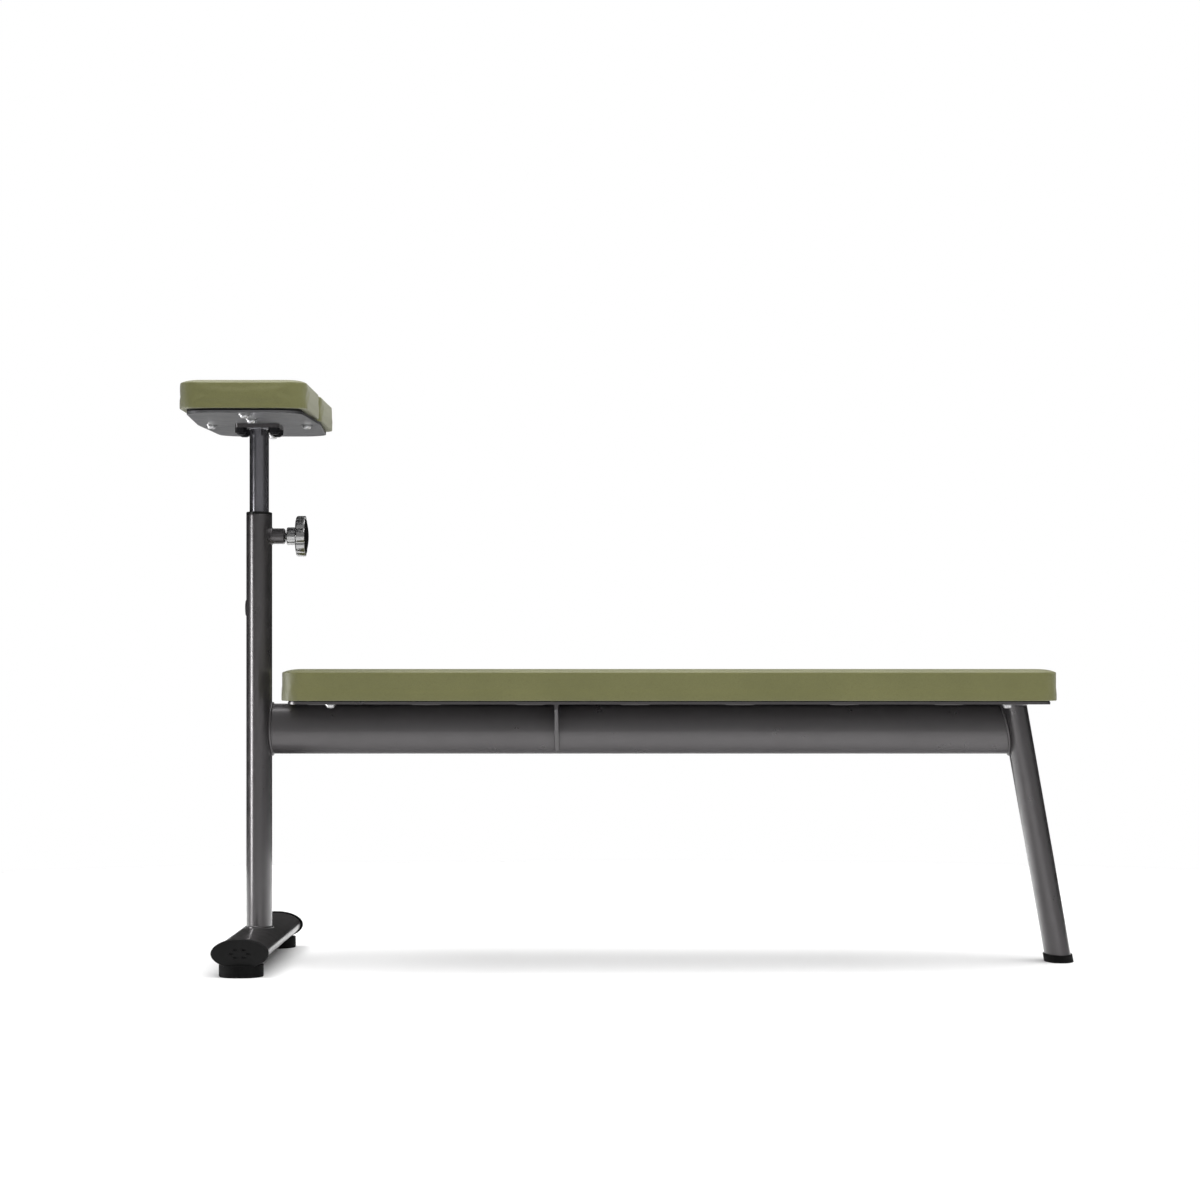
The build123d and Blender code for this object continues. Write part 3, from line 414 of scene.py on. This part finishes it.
def make_looks():
    """One material for each slot of the record."""
    paint = powder_coat("dark_grey_powder_coat", rgb(0.088, 0.083, 0.085), rgb(0.102, 0.097, 0.100), 0.31)
    tube = powder_coat("tube_powder_coat", rgb(0.170, 0.168, 0.185), rgb(0.195, 0.193, 0.212), 0.17)
    plate = powder_coat("plate_powder_coat", rgb(0.135, 0.135, 0.140), rgb(0.158, 0.158, 0.164), 0.40)
    zinc = bare_metal("bright_zinc_plate", rgb(0.40, 0.40, 0.41), grey(0.52), 0.30)
    black = bare_metal("black_oxide_steel", rgb(0.022, 0.022, 0.024), rgb(0.045, 0.045, 0.048), 0.38)
    brass = bare_metal("turned_brass", rgb(0.60, 0.42, 0.16), rgb(0.75, 0.56, 0.25), 0.25)
    casting = bare_metal("polished_casting", grey(0.32), rgb(0.44, 0.44, 0.435), 0.18)
    return {
        "frame_paint": paint,
        "tube_paint": tube,
        "plate_paint": plate,
        "black_plastic": moulded_plastic("black_moulded_plastic", 0.005, 0.45, 1500.0, 0.03 * MM),
        "badge_plastic": moulded_plastic("blank_badge_plastic", 0.035, 0.28, 2600.0, 0.01 * MM),
        "backing_panel": backing_sheet(),
        "rubber": moulded_plastic("black_rubber", 0.0015, 0.75, 1100.0, 0.05 * MM),
        "plywood": plywood(),
        "foam": moulded_plastic("foam", 0.5, 0.9, 700.0, 0.2 * MM),
        "upholstery": synthetic_leather(),
        "zinc": zinc,
        "black_steel": black,
        "brass": brass,
        "knob_metal": casting,
        "knob_disc": moulded_plastic("gloss_black_disc", 0.003, 0.22, 2400.0, 0.006 * MM),
    }


looks = make_looks()


def finish_cad_nodes():
    """Gives each CAD node the material of its slot."""
    slots = {part["node"]: part["material_slot"] for part in frame["record"]["subparts"]}
    for name, node in frame["nodes"].items():
        node.data.materials.clear()
        node.data.materials.append(looks[slots[name]])


# ---------------------------------------------------------------- padded pieces

class Cushion:
    """An upholstered pad: a crowned closed form, swollen by cloth simulation, with a gathered foot.

    Its mesh is a stack of rings, spaced evenly round the outline and up the side, which keeps the
    cloth's pull the same everywhere.
    """

    def __init__(self, name, cover, foam, body, corner, spacing):
        self.name = name
        self.nodes = (cover, foam)
        self.body = body
        self.corner = corner
        self.spacing = spacing
        self.centre = centre_of(cover)
        self.size = size_of(cover)
        self.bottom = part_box(cover)[0].z
        self.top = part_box(cover)[1].z
        self.board_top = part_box(foam)[0].z
        self.turned = self.size.y > self.size.x
        self.length = max(self.size.x, self.size.y)
        self.width = min(self.size.x, self.size.y)
        self.deepest = self.width / 2 - spacing / 2
        self.ring_points = 4 * round((self.size.x + self.size.y) / (2 * spacing))

    def profile(self):
        """Inset and height of each ring, from the middle of the underside to the middle of the top."""
        side_foot = self.bottom + PAD_FOOT_RADIUS
        crease = self.top - PAD_CROWN
        rings = []
        for step in range(PAD_UNDERSIDE_RINGS):
            rings.append((self.deepest * (1 - step / PAD_UNDERSIDE_RINGS), self.bottom))
        for turn in quarter_turn(PAD_ARC_STEPS):
            inset = PAD_FOOT_RADIUS * (1 - math.sin(turn))
            rings.append((inset, side_foot - PAD_FOOT_RADIUS * math.cos(turn)))
        side = crease - PAD_EDGE_RADIUS - side_foot
        steps = round(side / self.spacing)
        for step in range(1, steps):
            rings.append((0.0, side_foot + side * step / steps))
        for turn in quarter_turn(PAD_ARC_STEPS):
            inset = PAD_EDGE_RADIUS * (1 - math.cos(turn))
            rings.append((inset, crease - PAD_EDGE_RADIUS * (1 - math.sin(turn))))
        steps = round((self.deepest - PAD_EDGE_RADIUS) / self.spacing)
        for step in range(1, steps + 1):
            inset = PAD_EDGE_RADIUS + (self.deepest - PAD_EDGE_RADIUS) * step / steps
            fall = max(0.0, 1 - inset / PAD_CROWN_REACH)
            rings.append((inset, self.top - PAD_SINK - (PAD_CROWN - PAD_SINK) * fall ** 2))
        return rings

    def ring(self, inset, height):
        """Evenly spaced points round the pad's outline, from the middle of one short end."""
        corner = max(self.corner - inset, self.spacing / 4)
        length = self.length - 2 * inset
        outline = rounded_rectangle(length, self.width - 2 * inset, corner)
        path = np.array([(length / 2, 0.0), *outline, (length / 2, 0.0)])
        travelled = np.concatenate([[0.0], np.cumsum(np.hypot(*np.diff(path, axis=0).T))])
        stops = np.linspace(0.0, travelled[-1], self.ring_points, endpoint=False)
        x = np.interp(stops, travelled, path[:, 0])
        y = np.interp(stops, travelled, path[:, 1])
        if self.turned:
            x, y = -y, x
        return [(self.centre.x + dx, self.centre.y + dy, height) for dx, dy in zip(x, y)]

    def shell(self):
        """The closed starting form, with its two ends zipped shut along the pad's middle line."""
        rings = [self.ring(inset, height) for inset, height in self.profile()]
        verts, faces = skin_rings(rings, closed_ends=False)
        count = self.ring_points
        faces += [tuple(reversed(face)) for face in zip_ring(0, count)]
        faces += zip_ring(len(verts) - count, count)
        return new_piece(self.name, verts, faces, self.body, "upholstery")

    def swell(self, piece):
        """Inflates the cover with cloth, and keeps each point near where it started."""
        start = read_points(piece)
        pinned = piece.vertex_groups.new(name="under_the_board")
        held = [i for i, point in enumerate(start) if point[2] < self.board_top]
        pinned.add(held, 1.0, "REPLACE")
        cloth = piece.modifiers.new("cloth", "CLOTH")
        cloth.settings.use_pressure = True
        cloth.settings.uniform_pressure_force = PAD_PRESSURE
        cloth.settings.vertex_group_mass = pinned.name
        cloth.settings.effector_weights.gravity = 0.0
        cloth.point_cache.frame_start = 1
        cloth.point_cache.frame_end = CLOTH_FRAMES
        for frame_number in range(1, CLOTH_FRAMES + 1):
            bpy.context.scene.frame_set(frame_number)
        bake_modifiers(piece)
        bpy.context.scene.frame_set(1)
        move = read_points(piece) - start
        length = np.linalg.norm(move, axis=1)
        share = np.minimum(1.0, PAD_SWELL / np.maximum(length, 1e-9))
        write_points(piece, start + move * share[:, None])

    def gather(self, piece):
        """Small pleats round each corner's foot, where the cover is pulled under."""
        points = read_points(piece)
        half_x = self.size.x / 2 - self.corner
        half_y = self.size.y / 2 - self.corner
        dx = points[:, 0] - self.centre.x
        dy = points[:, 1] - self.centre.y
        out_x = np.maximum(np.abs(dx) - half_x, 0.0)
        out_y = np.maximum(np.abs(dy) - half_y, 0.0)
        reach = np.hypot(out_x, out_y)
        turn = np.arctan2(out_y, out_x)
        outer = reach > self.corner * PLEAT_FROM_CENTRE
        in_corner = np.clip(np.sin(2 * turn), 0.0, 1.0) ** 0.5 * outer
        low = np.clip(1.0 - (points[:, 2] - self.bottom) / PLEAT_HEIGHT, 0.0, 1.0) ** 1.5
        wave = np.cos(turn * 4 * PLEATS_PER_CORNER) - 1.0
        depth = PLEAT_DEPTH * in_corner * low * wave / 2
        safe = np.maximum(reach, 1e-9)
        points[:, 0] += np.sign(dx) * out_x / safe * depth
        points[:, 1] += np.sign(dy) * out_y / safe * depth
        write_points(piece, points)

    def make(self):
        """Builds the pad, standing for its cover and foam."""
        piece = self.shell()
        self.swell(piece)
        subdivision = piece.modifiers.new("smooth", "SUBSURF")
        subdivision.levels = 1
        subdivision.render_levels = 1
        bake_modifiers(piece)
        self.gather(piece)
        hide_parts(*self.nodes)


def make_cushions():
    """The long pad and the two calf pads."""
    bench = Cushion("bench_pad", "bench_cover", "bench_foam", "frame", BENCH_PAD_CORNER, BENCH_PAD_SPACING)
    bench.make()
    for side in ("left", "right"):
        cushion = Cushion(
            f"calf_pad_{side}",
            f"calf_cover_{side}",
            f"calf_foam_{side}",
            "calf_rest",
            CALF_PAD_CORNER,
            CALF_PAD_SPACING,
        )
        cushion.make()


# ---------------------------------------------------------------- tubes and welds

def bead(name, path, body="frame", slot="frame_paint", radius=BEAD_RADIUS, closed=True):
    """A weld bead along a path of points: a rippled tube, partly sunk in the corner that it fills."""
    points = even_points(path, BEAD_STEP, closed)
    count = len(points)
    rings = []
    travelled = 0.0
    for i, point in enumerate(points):
        after = points[(i + 1) % count] if closed or i + 1 < count else points[i]
        before = points[i - 1] if closed or i > 0 else points[i]
        along = (after - before).normalized()
        side = along.cross(OFF_EVERY_BEAD).normalized()
        up = side.cross(along)
        ripple = BEAD_RIPPLE * abs(math.sin(math.pi * travelled / BEAD_RIPPLE_PITCH))
        wander = BEAD_WANDER * math.sin(travelled / BEAD_WANDER_REACH)
        reach = radius - BEAD_RIPPLE + ripple + wander
        ring = []
        for step in range(BEAD_SIDES):
            angle = 2 * math.pi * step / BEAD_SIDES
            ring.append(point + reach * (math.cos(angle) * side + math.sin(angle) * up))
        rings.append(ring)
        travelled += BEAD_STEP
    if closed:
        rings.append(rings[0])
    verts, faces = skin_rings(rings, closed_ends=not closed)
    piece = new_piece(name, verts, faces, body, slot)
    if closed:
        close_sweep(piece)


def close_sweep(piece):
    """Merges the first and last ring of a closed sweep, with its faces turned outwards."""
    shape = bmesh.new()
    shape.from_mesh(piece.data)
    bmesh.ops.remove_doubles(shape, verts=shape.verts, dist=0.001 * MM)
    bmesh.ops.recalc_face_normals(shape, faces=shape.faces)
    shape.to_mesh(piece.data)
    shape.free()


def even_points(path, step, closed):
    """Points spaced evenly along a path."""
    path = [Vector(p) for p in path]
    if closed:
        path.append(path[0])
    lengths = [0.0]
    for a, b in zip(path, path[1:]):
        lengths.append(lengths[-1] + (b - a).length)
    count = max(3, round(lengths[-1] / step))
    stops = [lengths[-1] * i / count for i in range(count if closed else count + 1)]
    points = []
    leg = 0
    for stop in stops:
        while leg < len(lengths) - 2 and lengths[leg + 1] < stop:
            leg += 1
        share = (stop - lengths[leg]) / max(lengths[leg + 1] - lengths[leg], 1e-9)
        points.append(path[leg].lerp(path[leg + 1], share))
    return points


def loop(point_at):
    """Points of a closed path, from a function that gives the point at an angle."""
    return [point_at(2 * math.pi * step / LOOP_STEPS) for step in range(LOOP_STEPS)]


def ellipse_reach(half_across, half_along, offset):
    """How far an ellipse reaches across, at an offset along its other axis."""
    share = min(1.0, abs(offset) / half_along)
    return half_across * math.sqrt(1.0 - share * share)


class TubeFrame:
    """The curves where the frame's elliptical tubes end, all measured from the CAD nodes.

    An angle goes round a tube's section, and an inset is how far inside the tube's skin a point is.
    """

    def __init__(self):
        post_size = size_of("post_tube")
        self.short = post_size.x / 2
        self.long = post_size.y / 2
        self.post_x = centre_of("post_tube").x
        self.post_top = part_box("post_tube")[1].z
        self.foot_axis = centre_of("cross_foot_tube")
        self.foot_half_y = size_of("cross_foot_tube").y / 2
        self.plate_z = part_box("bench_plate")[0].z
        self.beam_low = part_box("main_beam")[0]
        self.beam_axis_z = self.beam_low.z + self.long
        self.leg_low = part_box("rear_leg")[0]
        self.leg_half_x = self.short / math.cos(LEG_TILT)
        self.leg_top_x = self.leg_low.x + self.leg_half_x

    def post_face(self, y, _z):
        """Where the post's outer face is, towards the leg. It is the same at every height."""
        return self.post_x + ellipse_reach(self.short, self.long, y)

    def leg_face(self, y, z):
        """Where the leg's outer face is, towards the post."""
        axis_x = self.leg_top_x + (self.plate_z - z) * math.tan(LEG_TILT)
        return axis_x - ellipse_reach(self.leg_half_x, self.long, y)

    def beam_end(self, angle, inset, face):
        """A point of the beam's section, carried to the tube that it meets."""
        y = (self.short - inset) * math.sin(angle)
        z = min(self.beam_axis_z + (self.long - inset) * math.cos(angle), self.plate_z)
        return Vector((face(y, z), y, z))

    def leg_point(self, angle, inset, z):
        """A point of the leg's section at a height."""
        x = self.leg_top_x + (self.plate_z - z) * math.tan(LEG_TILT)
        x += (self.leg_half_x - inset) * math.cos(angle)
        return Vector((x, (self.long - inset) * math.sin(angle), z))

    def post_foot(self, angle, inset):
        """A point of the post's section, carried down to the cross foot."""
        x = (self.short - inset) * math.cos(angle)
        y = (self.long - inset) * math.sin(angle)
        rise = ellipse_reach(self.short, self.long, x)
        return Vector((self.post_x + x, y, self.foot_axis.z + rise))

    def beam(self, angle, inset):
        """Both ends of the beam at an angle."""
        return self.beam_end(angle, inset, self.post_face), self.beam_end(angle, inset, self.leg_face)

    def upright(self, angle, inset):
        """Both ends of the post at an angle."""
        low = self.post_foot(angle, inset)
        return low, Vector((low.x, low.y, self.post_top))

    def leg(self, angle, inset):
        """Both ends of the leg at an angle."""
        return self.leg_point(angle, inset, self.leg_low.z), self.leg_point(angle, inset, self.plate_z)

    def foot(self, angle, inset):
        """Both ends of the cross foot at an angle."""
        x = self.foot_axis.x + (self.long - inset) * math.cos(angle)
        z = self.foot_axis.z + (self.short - inset) * math.sin(angle)
        return Vector((x, -self.foot_half_y, z)), Vector((x, self.foot_half_y, z))


def make_tube(name, node, ends):
    """A hollow tube between two end curves, with its cut edges broken."""
    stations = [(TUBE_WALL, 0.0), (TUBE_EDGE, 0.0), (0.0, TUBE_EDGE), (0.0, TUBE_EDGE_HOLD)]
    near_end = [(inset, along, False) for inset, along in stations]
    far_end = [(inset, along, True) for inset, along in reversed(stations)]
    rings = []
    for inset, along, far in near_end + far_end:
        ring = []
        for step in range(TUBE_SIDES):
            start, end = ends(2 * math.pi * step / TUBE_SIDES, inset)
            if far:
                start, end = end, start
            ring.append(start + (end - start).normalized() * along)
        rings.append(ring)
    rings.append(rings[0])
    verts, faces = skin_rings(rings, closed_ends=False)
    tube = new_piece(name, verts, faces, "frame", "frame_paint")
    close_sweep(tube)
    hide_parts(node)


def make_tubes(tubes):
    """The four painted tubes of the frame."""
    make_tube("beam_tube", "main_beam", tubes.beam)
    make_tube("upright_tube", "post_tube", tubes.upright)
    make_tube("leg_tube", "rear_leg", tubes.leg)
    make_tube("foot_tube", "cross_foot_tube", tubes.foot)


def make_welds(tubes):
    """Beads where the frame's tubes, plates and boss meet."""
    out = Vector((BEAD_OUT, 0.0, 0.0))
    bead("weld_post_beam", loop(lambda a: tubes.beam(a, -BEAD_OUT)[0] + out))
    bead("weld_leg_beam", loop(lambda a: tubes.beam(a, -BEAD_OUT)[1] - out))
    bead("weld_leg_plate", loop(lambda a: tubes.leg(a, 0.0)[1]))
    bead("weld_post_foot", loop(lambda a: tubes.upright(a, 0.0)[0]))

    boss_centre = centre_of("clamp_boss")
    boss_radius = size_of("clamp_boss").y / 2

    def boss_root(angle):
        """A point where the boss meets the post."""
        y = boss_radius * math.sin(angle)
        return (tubes.post_face(y, 0), y, boss_centre.z + boss_radius * math.cos(angle))

    bead("weld_boss", loop(boss_root), radius=BOSS_BEAD_RADIUS)

    tube_size = size_of("support_tube")
    tube_centre = centre_of("support_tube")
    flange_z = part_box("mounting_flange")[0].z

    def tube_top(angle):
        """A point where the support tube meets its flange."""
        x = tube_centre.x + tube_size.x / 2 * math.cos(angle)
        return (x, tube_size.y / 2 * math.sin(angle), flange_z)

    bead("weld_flange", loop(tube_top), "calf_rest", "tube_paint", radius=FLANGE_BEAD_RADIUS)

    make_gusset_welds(tubes)
    make_stitch_welds(tubes)


def make_gusset_welds(tubes):
    """Beads on both faces of each gusset, down the beam's side and along the plate."""
    for side_name, side in (("left", -1), ("right", 1)):
        low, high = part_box(f"gusset_{side_name}")
        reach = max(abs(low.y), abs(high.y))
        for face_name, x in (("front", low.x), ("back", high.x)):
            path = []
            for step in range(GUSSET_WELD_STEPS + 1):
                z = low.z + (tubes.plate_z - low.z) * step / GUSSET_WELD_STEPS
                y = ellipse_reach(tubes.short, tubes.long, z - tubes.beam_axis_z)
                path.append((x, side * max(y, GUSSET_WELD_END), z))
            path.append((x, side * (reach - GUSSET_WELD_END), tubes.plate_z))
            name = f"weld_gusset_{side_name}_{face_name}"
            bead(name, path, radius=GUSSET_BEAD_RADIUS, closed=False)


def make_stitch_welds(tubes):
    """Short beads between the beam's crest and the plate."""
    z = tubes.plate_z - STITCH_DROP
    y = ellipse_reach(tubes.short, tubes.long, z - tubes.beam_axis_z)
    spacing = (tubes.leg_low.x - tubes.beam_low.x) / STITCH_COUNT
    for side_name, side in (("left", -1), ("right", 1)):
        for i in range(STITCH_COUNT):
            middle = tubes.beam_low.x + spacing * (i + 0.5)
            path = [(middle + end * STITCH_LENGTH / 2, side * y, z) for end in (-1, 1)]
            name = f"weld_crest_{side_name}_{i + 1}"
            bead(name, path, radius=STITCH_BEAD_RADIUS, closed=False)


# ---------------------------------------------------------------- clamp

def lobed_ring(x, centre, radius, share):
    """A ring round the clamp axis whose radius dips between the lobes by a share of the valley."""
    ring = []
    steps = KNOB_LOBES * KNOB_STEPS_PER_LOBE
    for step in range(steps):
        angle = 2 * math.pi * step / steps
        lobe = abs(math.cos(KNOB_LOBES * angle / 2)) ** KNOB_LOBE_FULLNESS
        reach = radius - KNOB_VALLEY * share * (1.0 - lobe)
        ring.append((x, centre.y + reach * math.cos(angle), centre.z + reach * math.sin(angle)))
    return ring


def hub_rings(start_x, star_x, centre):
    """Rings of the scalloped hub, rounded at its free end and flared where it meets the star."""
    share = HUB_SCALLOP / KNOB_VALLEY
    rings = []
    for turn in quarter_turn(HUB_ROUND_STEPS):
        x = start_x + HUB_ROUND * (1 - math.cos(turn))
        rings.append(lobed_ring(x, centre, HUB_RADIUS - HUB_ROUND * (1 - math.sin(turn)), share))
    for turn in quarter_turn(HUB_ROUND_STEPS):
        x = star_x - HUB_ROUND * (1 - math.sin(turn))
        rings.append(lobed_ring(x, centre, HUB_RADIUS + HUB_ROUND * (1 - math.cos(turn)), share))
    return rings


def star_rings(star_x, face_x, centre, radius):
    """Rings of the lobed star, with its valleys shallower towards the back."""
    rings = []
    for step, turn in enumerate(quarter_turn(KNOB_EDGE_STEPS)):
        x = star_x + KNOB_EDGE_ROUND * (1 - math.cos(turn))
        reach = radius - KNOB_EDGE_ROUND * (1 - math.sin(turn))
        share = KNOB_VALLEY_AT_BACK + (1.0 - KNOB_VALLEY_AT_BACK) * step / KNOB_EDGE_STEPS
        rings.append(lobed_ring(x, centre, reach, share))
    for turn in quarter_turn(KNOB_EDGE_STEPS):
        x = face_x - KNOB_FACE_ROUND * (1 - math.sin(turn))
        rings.append(lobed_ring(x, centre, radius - KNOB_FACE_ROUND * (1 - math.cos(turn)), 1.0))
    return rings


def cap_seat_rings(face_x, floor_x, centre, cap_radius):
    """Rings of the round recess that holds the cap."""
    wall = cap_radius + KNOB_CAP_GAP
    stations = [
        (face_x, wall + KNOB_CAP_GAP),
        (face_x - KNOB_CAP_GAP, wall),
        (floor_x - KNOB_CAP_GAP, wall),
    ]
    return [lobed_ring(x, centre, radius, 0.0) for x, radius in stations]


def make_knob():
    """Polished lobed knob with rounded edges and a scalloped hub."""
    low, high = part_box("knob")
    centre = centre_of("knob")
    star_x = high.x - KNOB_THICKNESS
    cap_floor_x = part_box("knob_cap")[0].x
    cap_radius = size_of("knob_cap").y / 2
    rings = hub_rings(low.x, star_x, centre)
    rings += star_rings(star_x, high.x, centre, (high.z - low.z) / 2)
    rings += cap_seat_rings(high.x, cap_floor_x, centre, cap_radius)
    verts, faces = skin_rings(rings)
    knob = new_piece("lobed_knob", verts, faces, "knob_body", "knob_metal")
    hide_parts("knob")


def make_screw():
    """The clamp stud with its thread."""
    low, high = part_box("clamp_screw")
    centre = centre_of("clamp_screw")
    radius = (high.z - low.z) / 2
    count = round((high.x - low.x) / THREAD_PITCH * THREAD_RINGS_PER_PITCH)
    rings = []
    for i in range(count + 1):
        x = low.x + (high.x - low.x) * i / count
        ring = []
        for step in range(THREAD_SIDES):
            angle = 2 * math.pi * step / THREAD_SIDES
            phase = (x / THREAD_PITCH - angle / (2 * math.pi)) % 1.0
            reach = radius - THREAD_DEPTH * abs(2 * phase - 1)
            ring.append((x, centre.y + reach * math.cos(angle), centre.z + reach * math.sin(angle)))
        rings.append(ring)
    verts, faces = skin_rings(rings)
    screw = new_piece("threaded_stud", verts, faces, "knob_body", "zinc")
    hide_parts("clamp_screw")


# ---------------------------------------------------------------- stage, light and camera

FLOOR_RADIUS = 2.6
FLOOR_SIDES = 96

# Camera: where it stands, and its focal length and upward shift as shares of the frame's width.
CAMERA_DISTANCE = 5.0
CAMERA_HEIGHT = 0.46
CAMERA_BESIDE_POST = 0.5386
SENSOR = 36.0
FOCAL_SHARE = 3163 / 1200
FRAME_SHIFT = 70 / 1200

# What the softboxes are aimed at.
BENCH_MIDDLE = (0.0, 0.0, 0.5)
POST_MIDDLE = (-0.6, 0.0, 0.39)

# Studio surround: the range of direction over which each one fades, and its strength at both ends.
WORLD_FRONT_TO_BACK = (-0.10, 0.60, 0.52, 0.03)
WORLD_LEFT_FLAG = (-0.60, -0.40, 0.05, 1.0)
WORLD_FLAG_FOOT = (0.045, 0.060, 1.0, 0.0)


def make_floor():
    """A round white floor that meets the white surround."""
    points = [(0.0, 0.0, 0.0)]
    for step in range(FLOOR_SIDES):
        angle = 2 * math.pi * step / FLOOR_SIDES
        points.append((FLOOR_RADIUS * math.cos(angle), FLOOR_RADIUS * math.sin(angle), 0.0))
    faces = [(0, i, i % FLOOR_SIDES + 1) for i in range(1, FLOOR_SIDES + 1)]
    mesh = bpy.data.meshes.new("studio_floor")
    mesh.from_pydata(points, [], faces)
    look = Look("white_floor", Specular_IOR_Level=0.0)
    look.shader.inputs["Base Color"].default_value = grey(0.93)
    look.shader.inputs["Roughness"].default_value = 1.0
    mesh.materials.append(look.material)
    floor = bpy.data.objects.new("studio_floor", mesh)
    bpy.context.scene.collection.objects.link(floor)


def ramp(tree, value, limits):
    """A value eased from one range to another."""
    node = tree.nodes.new("ShaderNodeMapRange")
    node.interpolation_type = "SMOOTHSTEP"
    for socket, limit in zip(node.inputs[1:5], limits):
        socket.default_value = limit
    tree.links.new(value, node.inputs["Value"])
    return node.outputs["Result"]


def maths(tree, operation, first, second):
    """One arithmetic step on two sockets."""
    node = tree.nodes.new("ShaderNodeMath")
    node.operation = operation
    tree.links.new(first, node.inputs[0])
    tree.links.new(second, node.inputs[1])
    return node.outputs[0]


def make_world():
    """A white surround for the camera; for light, a studio with a dark back and a flag high on the left."""
    world = bpy.data.worlds.new("studio")
    bpy.context.scene.world = world
    world.use_nodes = True
    tree = world.node_tree
    tree.nodes.clear()
    output = tree.nodes.new("ShaderNodeOutputWorld")
    mix = tree.nodes.new("ShaderNodeMixShader")
    seen = tree.nodes.new("ShaderNodeBackground")
    seen.inputs["Color"].default_value = grey(1.0)
    studio = tree.nodes.new("ShaderNodeBackground")
    path = tree.nodes.new("ShaderNodeLightPath")
    coordinates = tree.nodes.new("ShaderNodeTexCoord")
    split = tree.nodes.new("ShaderNodeSeparateXYZ")
    tree.links.new(coordinates.outputs["Generated"], split.inputs[0])
    room = ramp(tree, split.outputs["Y"], WORLD_FRONT_TO_BACK)
    off_left = ramp(tree, split.outputs["X"], WORLD_LEFT_FLAG)
    below = ramp(tree, split.outputs["Z"], WORLD_FLAG_FOOT)
    clear = maths(tree, "MAXIMUM", off_left, below)
    tree.links.new(maths(tree, "MULTIPLY", room, clear), studio.inputs["Strength"])
    tree.links.new(path.outputs["Is Camera Ray"], mix.inputs[0])
    tree.links.new(studio.outputs[0], mix.inputs[1])
    tree.links.new(seen.outputs[0], mix.inputs[2])
    tree.links.new(mix.outputs[0], output.inputs["Surface"])


def area_light(name, place, target, width, height, power):
    """A rectangular softbox aimed at a point."""
    data = bpy.data.lights.new(name, "AREA")
    data.shape = "RECTANGLE"
    data.size = width
    data.size_y = height
    data.energy = power
    light = bpy.data.objects.new(name, data)
    light.location = place
    light.rotation_euler = (Vector(target) - Vector(place)).to_track_quat("-Z", "Y").to_euler()
    bpy.context.scene.collection.objects.link(light)
    light.visible_camera = False
    return light


def make_lights():
    """Overhead softbox, soft key and fill, and a tall panel that the post's edge mirrors."""
    area_light("overhead", (0.0, 0.0, 3.2), (0.0, 0.0, 0.0), width=5.5, height=4.5, power=230.0)
    key = area_light("front_key", (1.2, -4.2, 2.4), BENCH_MIDDLE, width=3.0, height=2.0, power=50.0)
    key.visible_glossy = False
    panel = area_light("side_panel", (-1.95, -0.09, 0.39), POST_MIDDLE, width=0.42, height=0.76, power=14.0)
    panel.visible_diffuse = False
    fill = area_light("back_fill", (0.5, 4.5, 2.2), BENCH_MIDDLE, width=3.0, height=2.0, power=40.0)
    fill.visible_glossy = False


def make_camera():
    """A level camera square to the bench's side."""
    data = bpy.data.cameras.new("camera")
    data.sensor_width = SENSOR
    data.lens = SENSOR * FOCAL_SHARE
    data.shift_y = FRAME_SHIFT
    camera = bpy.data.objects.new("camera", data)
    camera_x = centre_of("post_tube").x + CAMERA_BESIDE_POST
    camera.location = (camera_x, -CAMERA_DISTANCE, CAMERA_HEIGHT)
    camera.rotation_euler = (math.pi / 2, 0.0, 0.0)
    bpy.context.scene.collection.objects.link(camera)
    bpy.context.scene.camera = camera


# ---------------------------------------------------------------- the scene

finish_cad_nodes()
make_cushions()
tube_frame = TubeFrame()
make_tubes(tube_frame)
make_welds(tube_frame)
make_knob()
make_screw()
make_floor()
make_world()
make_lights()
make_camera()
bpy.context.scene.view_settings.view_transform = "Standard"
